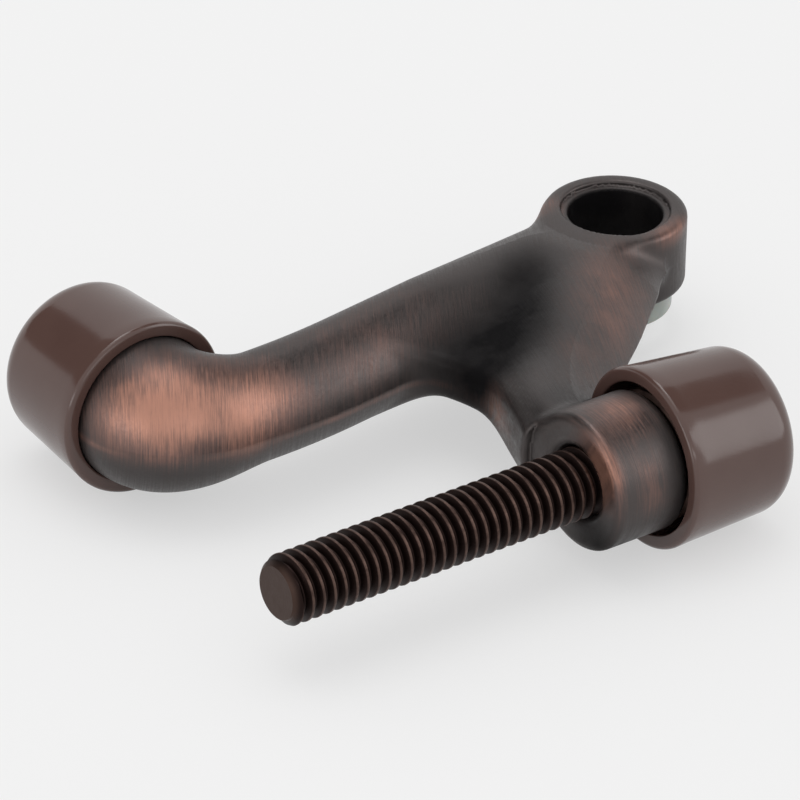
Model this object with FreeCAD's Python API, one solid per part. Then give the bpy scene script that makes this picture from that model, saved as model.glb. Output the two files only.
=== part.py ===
import FreeCAD, Part
import math
import os

# A hinge pin door stop. A cast body has an eye that drops over a door's hinge pin,
# a long arm that ends in a fixed rubber cap, and a short arm that ends in a threaded boss.
# A stud with a large round head screws through the boss and carries the second rubber cap.
#
# Millimetres. The origin is the centre of the hinge pin bore at half the eye's height.
# +Z is up along the hinge pin. +X runs along the stud towards its rubber cap.
# +Y is the way that the fixed rubber cap points.

Vector = FreeCAD.Vector

# Hinge pin eye
EYE_RADIUS = 8.1
EYE_HEIGHT = 9.4
EYE_EDGE_BEVEL = 0.7
PIN_BORE_RADIUS = 5.3
TOP_RECESS_RADIUS = 5.85
TOP_RECESS_DEPTH = 0.7

# Plastic bushing under the eye
BUSHING_RADIUS = 6.7
BUSHING_STAND_OUT = 2.9
BUSHING_EDGE_BEVEL = 0.4
BUSHING_SPIGOT_RADIUS = 6.1
BUSHING_SPIGOT_LENGTH = 1.6
BUSHING_CLEARANCE = 0.05

# Threaded boss and stud
STUD_Y = -38.9
BOSS_FACE_X = -35.1
BOSS_LENGTH = 9.8
BOSS_FACE_BEVEL = 1.0
BOSS_BACK_BEVEL = 0.6
BOSS_MOUTH_DEPTH = 0.6
STUD_RADIUS = 3.92
STUD_STAND_OUT = 38.9
STUD_TIP_CHAMFER = 0.9
STUD_BORE_CLEARANCE = 0.05
HEAD_GAP = 0.3
HEAD_EDGE_CHAMFER = 0.5

# Rubber cap, the same moulding at both ends
CAP_MOUTH_RADIUS = 10.2
CAP_DRAFT_DEG = 3.9
CAP_LENGTH = 15.1
CAP_END_ROUND = 3.6
CAP_END_BANDS = 4
CAP_RIM_BEVEL = 0.4
CAP_WALL = 1.65
CAP_BORE_MOUTH_RADIUS = CAP_MOUTH_RADIUS - CAP_WALL
CAP_BORE_DEPTH = 11.6
CAP_SEAT_CLEARANCE = 0.05
CAP_OVER_BOSS = 0.7
CAP_ROOM = 0.35

# The boss goes into the cap's mouth with room all round
BOSS_TO_CAP_GAP = 0.7
BOSS_RADIUS = CAP_BORE_MOUTH_RADIUS - BOSS_TO_CAP_GAP

# Points along half of an arm's section
SECTION_STEPS = 8

# Long arm: its middle line runs from the elbow to the eye. It is even for a share
# of the way, and then it widens and sinks towards the eye.
ARM_ELBOW_X = -54.0
ARM_STATIONS = 4
ARM_EVEN_SHARE = 0.45
ARM_HALF_WIDTH = 5.7
ARM_HALF_HEIGHT = 6.3
ARM_ROOT_HALF_WIDTH = 7.3
ARM_ROOT_HALF_HEIGHT = 4.2
ARM_ROOT_Y = -0.7
ARM_ELBOW_Y = -7.5
ARM_RIDGE_SHARE = 0.9
ARM_CREST_SHARE = 0.18

# Fixed cap's place, and the elbow that turns the arm into it
FIXED_CAP_X = -64.05
FIXED_CAP_MOUTH_Y = -0.3
ELBOW_TO_CAP = 0.5
ELBOW_STATIONS = 3
STUB_STEP = 0.1

# Short arm: a straight leg leaves the eye askew, and a bend turns it square into the boss
SHORT_ROOT = Vector(-0.6, -0.8, 0)
SHORT_HEADING_DEG = 221.0
SHORT_LEG = 18.7
SHORT_BEND_REACH = 12.0
SHORT_BEND_STATIONS = 6
SHORT_END_FROM_FACE = 3.5
SHORT_END_SHORT_OF_STUD = 0.5
SHORT_HALF_WIDTH = 7.0
SHORT_ROOT_HALF_WIDTH = 6.0
SHORT_END_HALF_WIDTH = 3.6
SHORT_ROOT_HALF_HEIGHT = 4.2
SHORT_BEND_HALF_HEIGHT = 5.4
SHORT_RIDGE_SHARE = 0.92
SHORT_CREST_SHARE = 0.38

# Web between the arms: its free edge is an arch from the long arm to the boss
ARCH_START_X = -36.6
ARCH_START_DROP = 3.6
ARCH_MIDDLE = Vector(-32.8, -16.6, 0)
ARCH_END = Vector(-35.6, -31.5, 0)
WEB_ROOT = Vector(-6.0, -4.0, 0)
WEB_HALF_THICKNESS = 3.2
WEB_EDGE_BEVEL = 1.4


def unit(angle_deg):
    """Return the level unit vector at an angle from +X."""
    angle = math.radians(angle_deg)
    return Vector(math.cos(angle), math.sin(angle), 0)


def section_half(centre, side, half_width, half_height, ridge, crest_shift, up):
    """Return one half of an arm's section, above or below the level plane.

    ridge is 1 for a full ellipse, and less for a lens that meets the other half
    at a soft ridge. crest_shift moves the highest line towards side.
    """
    flat = math.sqrt(1 - ridge)
    points = []
    for i in range(SECTION_STEPS + 1):
        u = -math.cos(math.pi * i / SECTION_STEPS)
        rise = (math.sqrt(max(0.0, 1 - ridge * u * u)) - flat) / (1 - flat)
        across = half_width * (u + crest_shift * (1 - u * u))
        points.append(centre + side * across + Vector(0, 0, up * half_height * rise))
    curve = Part.BSplineCurve()
    curve.interpolate(points)
    return curve.toShape()


def arm_section(centre, side, half_width, half_height, ridge, crest_shift):
    """Return the closed section of an arm at centre, square to the arm."""
    upper = section_half(centre, side, half_width, half_height, ridge, crest_shift, 1)
    lower = section_half(centre, side, half_width, half_height, ridge, crest_shift, -1)
    return Part.Wire([upper, lower])


def cap_axis_radius(mouth_radius, depth):
    """Return a drafted radius at a depth below the cap's mouth."""
    return mouth_radius - depth * math.tan(math.radians(CAP_DRAFT_DEG))


def turned(profile, start, direction):
    """Return a solid of revolution.

    profile is a closed wire in the XZ plane, with X along the axis and Z as radius.
    It is turned about X, and then laid along direction from start.
    """
    solid = Part.Face(profile).revolve(Vector(0, 0, 0), Vector(1, 0, 0), 360)
    solid.Placement = FreeCAD.Placement(start, FreeCAD.Rotation(Vector(1, 0, 0), direction))
    return solid


def profile_wire(points):
    """Return the closed straight-sided wire through (along, radius) pairs."""
    corners = [Vector(along, 0, radius) for along, radius in points]
    return Part.makePolygon(corners + [corners[0]])


def rubber_cap(mouth, direction):
    """Return a rubber cap with its mouth at mouth, pointing along direction.

    The rounded end is a few narrow cones, one for each band of the corner's arc.
    """
    round_start = CAP_LENGTH - CAP_END_ROUND
    flat_radius = cap_axis_radius(CAP_MOUTH_RADIUS, round_start) - CAP_END_ROUND
    outline = [(0, CAP_BORE_MOUTH_RADIUS),
               (0, CAP_MOUTH_RADIUS - CAP_RIM_BEVEL),
               (CAP_RIM_BEVEL, CAP_MOUTH_RADIUS)]
    for i in range(CAP_END_BANDS + 1):
        angle = math.radians(90 * i / CAP_END_BANDS)
        outline.append((round_start + CAP_END_ROUND * math.sin(angle),
                        flat_radius + CAP_END_ROUND * math.cos(angle)))
    outline += [(CAP_LENGTH, 0),
                (CAP_BORE_DEPTH, 0),
                (CAP_BORE_DEPTH, cap_axis_radius(CAP_BORE_MOUTH_RADIUS, CAP_BORE_DEPTH))]
    return turned(profile_wire(outline), mouth, direction)


def fixed_cap_mouth():
    """Return the centre of the fixed cap's mouth."""
    return Vector(FIXED_CAP_X, FIXED_CAP_MOUTH_Y, 0)


def stud_cap_mouth():
    """Return the centre of the adjustable cap's mouth, which laps over the boss."""
    return Vector(BOSS_FACE_X + BOSS_LENGTH - CAP_OVER_BOSS, STUD_Y, 0)


def eye():
    """Return the round eye with its edges softened, before it is bored."""
    disc = Part.makeCylinder(EYE_RADIUS, EYE_HEIGHT, Vector(0, 0, -EYE_HEIGHT / 2))
    rims = [e for e in disc.Edges if isinstance(e.Curve, Part.Circle)]
    return disc.makeChamfer(EYE_EDGE_BEVEL, rims)


def boss():
    """Return the boss that the stud screws through, before it is bored."""
    outline = [(0, 0),
               (0, BOSS_RADIUS - BOSS_FACE_BEVEL),
               (BOSS_FACE_BEVEL, BOSS_RADIUS),
               (BOSS_LENGTH - BOSS_BACK_BEVEL, BOSS_RADIUS),
               (BOSS_LENGTH, BOSS_RADIUS - BOSS_BACK_BEVEL),
               (BOSS_LENGTH, 0)]
    return turned(profile_wire(outline), Vector(BOSS_FACE_X, STUD_Y, 0), Vector(1, 0, 0))


def long_arm():
    """Return the long arm with its elbow and the stub that fills the fixed cap."""
    stub_mouth_radius = CAP_BORE_MOUTH_RADIUS - CAP_SEAT_CLEARANCE
    stub_root_radius = stub_mouth_radius - STUB_STEP
    stub_end_radius = cap_axis_radius(stub_root_radius, CAP_BORE_DEPTH)
    stub_root_y = FIXED_CAP_MOUTH_Y - 2 * ELBOW_TO_CAP
    stub_end_y = FIXED_CAP_MOUTH_Y + CAP_BORE_DEPTH - CAP_SEAT_CLEARANCE
    pivot = Vector(ARM_ELBOW_X, FIXED_CAP_MOUTH_Y - ELBOW_TO_CAP, 0)
    stub_reach = pivot.x - FIXED_CAP_X
    arm_reach = pivot.y - ARM_ELBOW_Y
    stub_angle = 180.0
    arm_angle = 270.0
    sections = []
    for i in range(ELBOW_STATIONS + 2):
        share = i / (ELBOW_STATIONS + 1)
        ease = share * share * (3 - 2 * share)
        angle = stub_angle + (arm_angle - stub_angle) * share
        reach = stub_reach + (arm_reach - stub_reach) * ease
        half_width = stub_mouth_radius + (ARM_HALF_WIDTH - stub_mouth_radius) * ease
        half_height = stub_mouth_radius + (ARM_HALF_HEIGHT - stub_mouth_radius) * ease
        ridge = 1 + (ARM_RIDGE_SHARE - 1) * ease
        sections.append(arm_section(pivot + unit(angle) * reach, unit(angle + 180),
                                    half_width, half_height, ridge, ARM_CREST_SHARE * ease))
    for i in range(1, ARM_STATIONS + 1):
        share = i / ARM_STATIONS
        ease = max(0.0, share - ARM_EVEN_SHARE) / (1 - ARM_EVEN_SHARE)
        centre = Vector(ARM_ELBOW_X * (1 - share), ARM_ELBOW_Y + (ARM_ROOT_Y - ARM_ELBOW_Y) * share, 0)
        half_width = ARM_HALF_WIDTH + (ARM_ROOT_HALF_WIDTH - ARM_HALF_WIDTH) * ease
        half_height = ARM_HALF_HEIGHT + (ARM_ROOT_HALF_HEIGHT - ARM_HALF_HEIGHT) * ease
        side = unit(90 + math.degrees(math.atan2(ARM_ROOT_Y - ARM_ELBOW_Y, -ARM_ELBOW_X)))
        sections.append(arm_section(centre, side, half_width, half_height, ARM_RIDGE_SHARE, ARM_CREST_SHARE))
    arm = Part.makeLoft(sections, True, False)
    stub = Part.makeCone(stub_root_radius, stub_end_radius, stub_end_y - stub_root_y,
                         Vector(FIXED_CAP_X, stub_root_y, 0), Vector(0, 1, 0))
    return [arm, stub]


def short_arm_bend():
    """Return the curve that the short arm's middle line follows from its leg to the boss."""
    leg_end = SHORT_ROOT + unit(SHORT_HEADING_DEG) * SHORT_LEG
    end = Vector(BOSS_FACE_X + SHORT_END_FROM_FACE, STUD_Y + SHORT_END_SHORT_OF_STUD, 0)
    bend = Part.BezierCurve()
    bend.setPoles([leg_end, leg_end + unit(SHORT_HEADING_DEG) * SHORT_BEND_REACH,
                   end + Vector(0, SHORT_BEND_REACH, 0), end])
    return bend


def short_arm():
    """Return the short arm, lofted from inside the eye to inside the boss.

    Its flank is cut back where the adjustable cap's mouth laps over the boss.
    """
    leg_side = unit(SHORT_HEADING_DEG - 90)
    rise = SHORT_BEND_HALF_HEIGHT - SHORT_ROOT_HALF_HEIGHT
    half_way = SHORT_ROOT + unit(SHORT_HEADING_DEG) * SHORT_LEG / 2
    sections = [
        arm_section(SHORT_ROOT, leg_side, SHORT_ROOT_HALF_WIDTH, SHORT_ROOT_HALF_HEIGHT,
                    SHORT_RIDGE_SHARE, SHORT_CREST_SHARE),
        arm_section(half_way, leg_side, SHORT_HALF_WIDTH, SHORT_ROOT_HALF_HEIGHT + rise / 3,
                    SHORT_RIDGE_SHARE, SHORT_CREST_SHARE),
    ]
    bend = short_arm_bend()
    for i in range(SHORT_BEND_STATIONS + 1):
        share = i / SHORT_BEND_STATIONS
        along = bend.tangent(share)[0]
        side = Vector(along.y, -along.x, 0)
        half_width = SHORT_HALF_WIDTH + (SHORT_END_HALF_WIDTH - SHORT_HALF_WIDTH) * share ** 1.5
        half_height = SHORT_BEND_HALF_HEIGHT - rise / 2 * (1 - share)
        sections.append(arm_section(bend.value(share), side, half_width, half_height,
                                    SHORT_RIDGE_SHARE, SHORT_CREST_SHARE))
    cap_room = Part.makeCylinder(CAP_MOUTH_RADIUS + CAP_ROOM, CAP_LENGTH,
                                 stud_cap_mouth() - Vector(CAP_ROOM, 0, 0), Vector(1, 0, 0))
    return Part.makeLoft(sections, True, False).cut(cap_room)


def web():
    """Return the plate that fills the corner between the two arms."""
    share = ARCH_START_X / ARM_ELBOW_X
    arm_middle = Vector(ARCH_START_X, ARM_ROOT_Y + (ARM_ELBOW_Y - ARM_ROOT_Y) * share, 0)
    arch_start = arm_middle - Vector(0, ARCH_START_DROP, 0)
    inside = [ARCH_END, short_arm_bend().value(0.8), WEB_ROOT, arm_middle, arch_start]
    arch = Part.Arc(arch_start, ARCH_MIDDLE, ARCH_END).toShape()
    outline = Part.Wire([arch] + Part.makePolygon(inside).Edges)
    plate = Part.Face(outline).extrude(Vector(0, 0, 2 * WEB_HALF_THICKNESS))
    plate.translate(Vector(0, 0, -WEB_HALF_THICKNESS))
    rims = [e for e in plate.Edges if isinstance(e.Curve, Part.Circle)]
    return plate.makeChamfer(WEB_EDGE_BEVEL, rims)


def casting():
    """Return the one-piece casting: eye, arms, web and bored boss."""
    solid = eye()
    for piece in long_arm() + [short_arm(), web(), boss()]:
        solid = solid.fuse(piece)
    pin_bore = Part.makeCylinder(PIN_BORE_RADIUS, 2 * EYE_HEIGHT, Vector(0, 0, -EYE_HEIGHT))
    recess = Part.makeCylinder(TOP_RECESS_RADIUS, EYE_HEIGHT,
                               Vector(0, 0, EYE_HEIGHT / 2 - TOP_RECESS_DEPTH))
    spigot_hole = Part.makeCylinder(BUSHING_SPIGOT_RADIUS + BUSHING_CLEARANCE,
                                    BUSHING_SPIGOT_LENGTH + BUSHING_CLEARANCE + EYE_HEIGHT,
                                    Vector(0, 0, -EYE_HEIGHT * 1.5))
    stud_bore_radius = STUD_RADIUS + STUD_BORE_CLEARANCE
    stud_bore = Part.makeCylinder(stud_bore_radius, 3 * BOSS_LENGTH,
                                  Vector(BOSS_FACE_X - BOSS_LENGTH, STUD_Y, 0), Vector(1, 0, 0))
    mouth = Part.makeCone(stud_bore_radius + 2 * BOSS_MOUTH_DEPTH, stud_bore_radius - BOSS_MOUTH_DEPTH,
                          3 * BOSS_MOUTH_DEPTH, Vector(BOSS_FACE_X - BOSS_MOUTH_DEPTH, STUD_Y, 0),
                          Vector(1, 0, 0))
    return solid.cut([pin_bore, recess, spigot_hole, stud_bore, mouth])


def pin_bushing():
    """Return the flanged bushing that is pressed into the underside of the eye."""
    underside = Vector(0, 0, -EYE_HEIGHT / 2 - BUSHING_STAND_OUT)
    outline = [(0, PIN_BORE_RADIUS),
               (0, BUSHING_RADIUS - BUSHING_EDGE_BEVEL),
               (BUSHING_EDGE_BEVEL, BUSHING_RADIUS),
               (BUSHING_STAND_OUT, BUSHING_RADIUS),
               (BUSHING_STAND_OUT, BUSHING_SPIGOT_RADIUS),
               (BUSHING_STAND_OUT + BUSHING_SPIGOT_LENGTH, BUSHING_SPIGOT_RADIUS),
               (BUSHING_STAND_OUT + BUSHING_SPIGOT_LENGTH, PIN_BORE_RADIUS)]
    return turned(profile_wire(outline), underside, Vector(0, 0, 1))


def bumper_stud():
    """Return the turned stud: a chamfered shank and the round head inside the cap."""
    head_start = CAP_OVER_BOSS + HEAD_GAP
    head_depth = CAP_BORE_DEPTH - CAP_SEAT_CLEARANCE
    seat_radius = CAP_BORE_MOUTH_RADIUS - CAP_SEAT_CLEARANCE
    head_back_radius = cap_axis_radius(seat_radius, head_start)
    head_front_radius = cap_axis_radius(seat_radius, head_depth)
    tip = BOSS_FACE_X - STUD_STAND_OUT - stud_cap_mouth().x
    outline = [
        (tip, 0),
        (tip, STUD_RADIUS - STUD_TIP_CHAMFER),
        (tip + STUD_TIP_CHAMFER, STUD_RADIUS),
        (head_start, STUD_RADIUS),
        (head_start, head_back_radius - HEAD_EDGE_CHAMFER),
        (head_start + HEAD_EDGE_CHAMFER, head_back_radius - HEAD_EDGE_CHAMFER / 10),
        (head_depth - HEAD_EDGE_CHAMFER, head_front_radius),
        (head_depth, head_front_radius - HEAD_EDGE_CHAMFER),
        (head_depth, 0),
    ]
    return turned(profile_wire(outline), stud_cap_mouth(), Vector(1, 0, 0))


def main():
    """Build every piece and write it to its own file."""
    pieces = {
        "stop_casting": casting(),
        "pin_bushing": pin_bushing(),
        "fixed_bumper_cap": rubber_cap(fixed_cap_mouth(), Vector(0, 1, 0)),
        "bumper_stud": bumper_stud(),
        "adjustable_bumper_cap": rubber_cap(stud_cap_mouth(), Vector(1, 0, 0)),
    }
    os.makedirs("parts", exist_ok=True)
    for name, shape in pieces.items():
        if len(shape.Solids) != 1 or not shape.isValid():
            raise ValueError(name + " is not one valid solid")
        solid = shape.Solids[0]
        print(name, "volume", round(solid.Volume, 1), "faces", len(solid.Faces))
        solid.exportStep("parts/" + name + ".step")


main()
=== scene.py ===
import logging
import math
from dataclasses import dataclass
from enum import Enum
from typing import Callable

import bpy
import numpy as np
from mathutils import Matrix, Vector


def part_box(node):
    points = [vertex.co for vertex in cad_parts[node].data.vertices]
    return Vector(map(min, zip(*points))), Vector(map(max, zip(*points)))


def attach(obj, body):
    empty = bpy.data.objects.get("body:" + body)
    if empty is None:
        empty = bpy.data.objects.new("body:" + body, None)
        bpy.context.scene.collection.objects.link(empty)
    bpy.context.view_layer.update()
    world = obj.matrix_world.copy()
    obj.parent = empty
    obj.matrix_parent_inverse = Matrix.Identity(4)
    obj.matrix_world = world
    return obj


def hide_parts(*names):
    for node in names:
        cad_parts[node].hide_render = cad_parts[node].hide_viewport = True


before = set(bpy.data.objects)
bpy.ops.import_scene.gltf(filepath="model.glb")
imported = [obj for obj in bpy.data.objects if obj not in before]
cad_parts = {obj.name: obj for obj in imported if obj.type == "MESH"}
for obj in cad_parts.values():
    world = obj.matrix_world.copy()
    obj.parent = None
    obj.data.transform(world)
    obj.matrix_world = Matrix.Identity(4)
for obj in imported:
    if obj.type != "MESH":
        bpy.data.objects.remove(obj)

# The looks of a hinge pin door stop: a brushed bronze casting, two brown rubber caps,
# a threaded stud and a pale bushing. Shapes are worked out in millimetres in the part's
# frame and written to the meshes in metres.

LOG = logging.getLogger("door_stop")
MM = 0.001

# Values that several pieces share, in millimetres and degrees
STUD_AXIS_Y = -38.9
DRAFT_DEG = 3.9
FIXED_CAP_X = -64.05


class Body(Enum):
    """The moving bodies of the part."""

    STOP = "stop_body"
    CAP = "bumper_cap"
    STUD = "stud"


class Slot(Enum):
    """The material slots of the part's record."""

    CASTING = "bronze_casting"
    RUBBER = "bumper_rubber"
    STUD = "stud_metal"
    BUSHING = "bushing_plastic"


class Layer(Enum):
    """Names of the mesh layers that the bronze material reads."""

    GRAIN_LONG = "grain_long"
    GRAIN_SHORT = "grain_short"
    SHORT_SHARE = "short_share"
    COPPER_AND_HIGHLIGHT = "copper"
    SHADE = "shade"


# Sizes


@dataclass(frozen=True)
class EyeSizes:
    """The hinge pin eye, in millimetres."""

    radius: float = 8.1
    half_height: float = 4.7
    edge_round: float = 1.1
    bore_radius: float = 5.3
    recess_radius: float = 6.15
    recess_depth: float = 0.8


@dataclass(frozen=True)
class BossSizes:
    """The boss that the stud screws through, in millimetres. Its axis is level, along X."""

    axis_y: float = STUD_AXIS_Y
    radius: float = 7.85
    face_x: float = -35.1
    length: float = 9.8
    face_round: float = 1.2
    stud_bore_radius: float = 3.97
    mouth_radius: float = 4.95
    mouth_reach: float = 2.0
    spot_face_radius: float = 7.75


@dataclass(frozen=True)
class CapSizes:
    """A rubber cap, in millimetres."""

    mouth_radius: float = 10.2
    draft_deg: float = DRAFT_DEG
    length: float = 15.0
    end_round: float = 3.2
    rim_round: float = 0.55
    inner_round: float = 0.25
    bore_mouth_radius: float = 8.55
    bore_depth: float = 11.6

    def drafted(self, radius: float, depth: float) -> float:
        """Return a radius after its draft.

        Args:
            radius: the radius at the mouth.
            depth: the distance below the mouth.

        Returns:
            The radius at that depth.
        """
        return radius - depth * math.tan(math.radians(self.draft_deg))


@dataclass(frozen=True)
class StudSizes:
    """The threaded stud, in millimetres. The thread is right-handed."""

    radius: float = 3.92
    root_radius: float = 3.12
    pitch: float = 1.4111
    root_share: float = 0.16
    crest_share: float = 0.82
    tip_x: float = -74.0
    thread_end_x: float = -25.2
    tip_radius: float = 3.0
    head_start_x: float = -25.0
    head_end_x: float = -14.45
    head_radius: float = 7.4
    head_edge: float = 0.4
    head_taper: float = 0.3
    weld: float = 0.004


@dataclass(frozen=True)
class BushingSizes:
    """The bushing under the eye, in millimetres."""

    radius: float = 6.7
    bore_radius: float = 5.3
    spigot_radius: float = 6.1
    spigot_length: float = 1.6
    stand_out: float = 2.9
    eye_gap: float = 0.02
    edge_round: float = 0.5
    bore_round: float = 0.25


# The casting's shape

# Limits that keep the signed distances finite. The last two are in millimetres.
LEAST_CREST = 1e-4
LEAST_SQUEEZE = 0.12
TINY = 1e-9
LEAST_SLOPE_SQUARED = 1e-6
DEEPEST = -6.0
FURTHEST = 30.0


def smooth_step(share: np.ndarray) -> np.ndarray:
    """Ease a share from 0 to 1 in and out."""
    return share * share * (3.0 - 2.0 * share)


def ramp(value: np.ndarray, start: float, reach: float) -> np.ndarray:
    """Return a share that grows from 0 to 1.

    Args:
        value: the numbers to measure.
        start: where the share starts to grow.
        reach: how far from there it is 1.

    Returns:
        The share for each number.
    """
    return np.clip((value - start) / reach, 0.0, 1.0)


def rounded_drum(side: np.ndarray, end: np.ndarray, edge_round: float) -> np.ndarray:
    """Return the distance from a drum with rounded edges.

    Args:
        side: the distance outside the drum's side.
        end: the distance outside its ends.
        edge_round: the radius of its edges.

    Returns:
        The signed distance, negative inside.
    """
    side, end = side + edge_round, end + edge_round
    inside = np.minimum(np.maximum(side, end), 0.0)
    return inside + np.hypot(np.maximum(side, 0.0), np.maximum(end, 0.0)) - edge_round


def smooth_union(a: np.ndarray, b: np.ndarray, reach: float) -> np.ndarray:
    """Join two signed distances with a concave blend.

    Args:
        a: the first distance.
        b: the second distance.
        reach: how far the blend spreads, in millimetres.

    Returns:
        The distance of the joined shape.
    """
    share = np.clip(0.5 + 0.5 * (b - a) / reach, 0.0, 1.0)
    return b + (a - b) * share - reach * share * (1.0 - share)


def smooth_cut(a: np.ndarray, b: np.ndarray, reach: float) -> np.ndarray:
    """Keep what lies in both shapes, with a rounded edge.

    Args:
        a: the first distance.
        b: the second distance.
        reach: how far the rounding spreads, in millimetres.

    Returns:
        The distance of the shape that both share.
    """
    return -smooth_union(-a, -b, reach)


def lens_distance(
    across: np.ndarray,
    z: np.ndarray,
    half_width: np.ndarray,
    half_height: np.ndarray,
    ridge: np.ndarray,
    crest: np.ndarray,
) -> np.ndarray:
    """Return the distance from an arm's section, which is a lens with a soft ridge.

    Args:
        across: the place across the arm.
        z: the height above the level plane.
        half_width: half of the section's width.
        half_height: half of the section's height.
        ridge: 1 for an ellipse, and less for a sharper ridge.
        crest: how far the highest line lies to one side, as a share of the width.

    Returns:
        The signed distance, negative inside.
    """
    shifted = across / half_width
    inner = np.clip(shifted, -1.0, 1.0)
    safe = np.maximum(crest, LEAST_CREST)
    u = (1.0 - np.sqrt(np.maximum(1.0 - 4.0 * safe * (inner - safe), 0.0))) / (2.0 * safe)
    stretch = 1.0 / np.maximum(1.0 - 2.0 * safe * u, LEAST_SQUEEZE)
    u = u + (shifted - inner) * stretch
    flat = np.sqrt(np.maximum(1.0 - ridge, 0.0))
    lifted = np.abs(z) / half_height * (1.0 - flat) + flat
    size = np.sqrt(lifted**2 + ridge * u**2) + TINY
    slope_across = ridge * u / size * stretch / half_width
    slope_up = lifted / size * (1.0 - flat) / half_height
    steepness = np.sqrt(slope_across**2 + slope_up**2 + LEAST_SLOPE_SQUARED)
    return np.clip((size - 1.0) / steepness, DEEPEST, FURTHEST)


@dataclass(frozen=True)
class LongArm:
    """The long arm with its elbow and the stub inside the fixed cap, in millimetres."""

    elbow_x: float = -54.0
    elbow_y: float = -7.5
    root_y: float = -0.7
    pivot_y: float = -0.8
    cap_x: float = FIXED_CAP_X
    stub_radius: float = 8.5
    stub_end_y: float = 11.25
    half_width: float = 5.85
    half_height: float = 6.4
    root_half_width: float = 7.6
    root_half_height: float = 4.2
    ridge: float = 0.9
    crest: float = 0.18
    even_share: float = 0.45
    ease_in: float = 0.22
    draft_deg: float = DRAFT_DEG

    def locate(self, x: np.ndarray, y: np.ndarray) -> tuple[np.ndarray, np.ndarray, np.ndarray]:
        """Find places along and across the arm.

        Args:
            x: level places along X.
            y: level places along Y.

        Returns:
            The turn through the elbow from 0 to 1, the share of the straight part from
            0 to 1, and the place across the arm in millimetres.
        """
        x, y = np.broadcast_arrays(x, y)
        side_x, side_y = x - self.elbow_x, y - self.pivot_y
        angle = np.degrees(np.arctan2(side_y, side_x)) % 360.0
        turn = np.clip((angle - 180.0) / 90.0, 0.0, 1.0)
        straight = x >= self.elbow_x
        turn = np.where(straight, 1.0, np.where(y > self.pivot_y, 0.0, turn))
        ease = smooth_step(turn)
        stub_reach = self.elbow_x - self.cap_x
        arm_reach = self.pivot_y - self.elbow_y
        reach = stub_reach + (arm_reach - stub_reach) * ease
        across_elbow = reach - np.hypot(side_x, side_y)
        share = np.clip(side_x / -self.elbow_x, 0.0, 1.0)
        half_ease = self.ease_in / 2.0
        eased = np.where(share < self.ease_in, share**2 / (4.0 * half_ease), share - half_ease)
        middle_y = self.elbow_y + (self.root_y - self.elbow_y) * eased / (1.0 - half_ease)
        tilt = math.cos(math.atan2(self.root_y - self.elbow_y, -self.elbow_x))
        tilt = 1.0 + (tilt - 1.0) * np.clip(share / self.ease_in, 0.0, 1.0)
        across = np.where(straight, (y - middle_y) * tilt, across_elbow)
        across = np.where((y > self.pivot_y) & ~straight, x - self.cap_x, across)
        return turn, share, across

    def distance(self, x: np.ndarray, y: np.ndarray, z: np.ndarray) -> np.ndarray:
        """Return the signed distance from the arm.

        Args:
            x: places along X.
            y: places along Y.
            z: heights.

        Returns:
            The signed distance, negative inside.
        """
        turn, share, across = self.locate(x, y)
        ease = smooth_step(turn)
        spread = np.maximum(0.0, share - self.even_share) / (1.0 - self.even_share)
        taper = math.tan(math.radians(self.draft_deg))
        stub = self.stub_radius - np.maximum(0.0, y - self.pivot_y) * taper
        arm_width = self.half_width + (self.root_half_width - self.half_width) * spread
        arm_height = self.half_height + (self.root_half_height - self.half_height) * spread
        half_width = stub + (arm_width - stub) * ease
        half_height = stub + (arm_height - stub) * ease
        ridge = 1.0 + (self.ridge - 1.0) * ease
        found = lens_distance(across, z, half_width, half_height, ridge, self.crest * ease)
        found = np.maximum(found, y - self.stub_end_y)
        return np.maximum(found, x)


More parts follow.
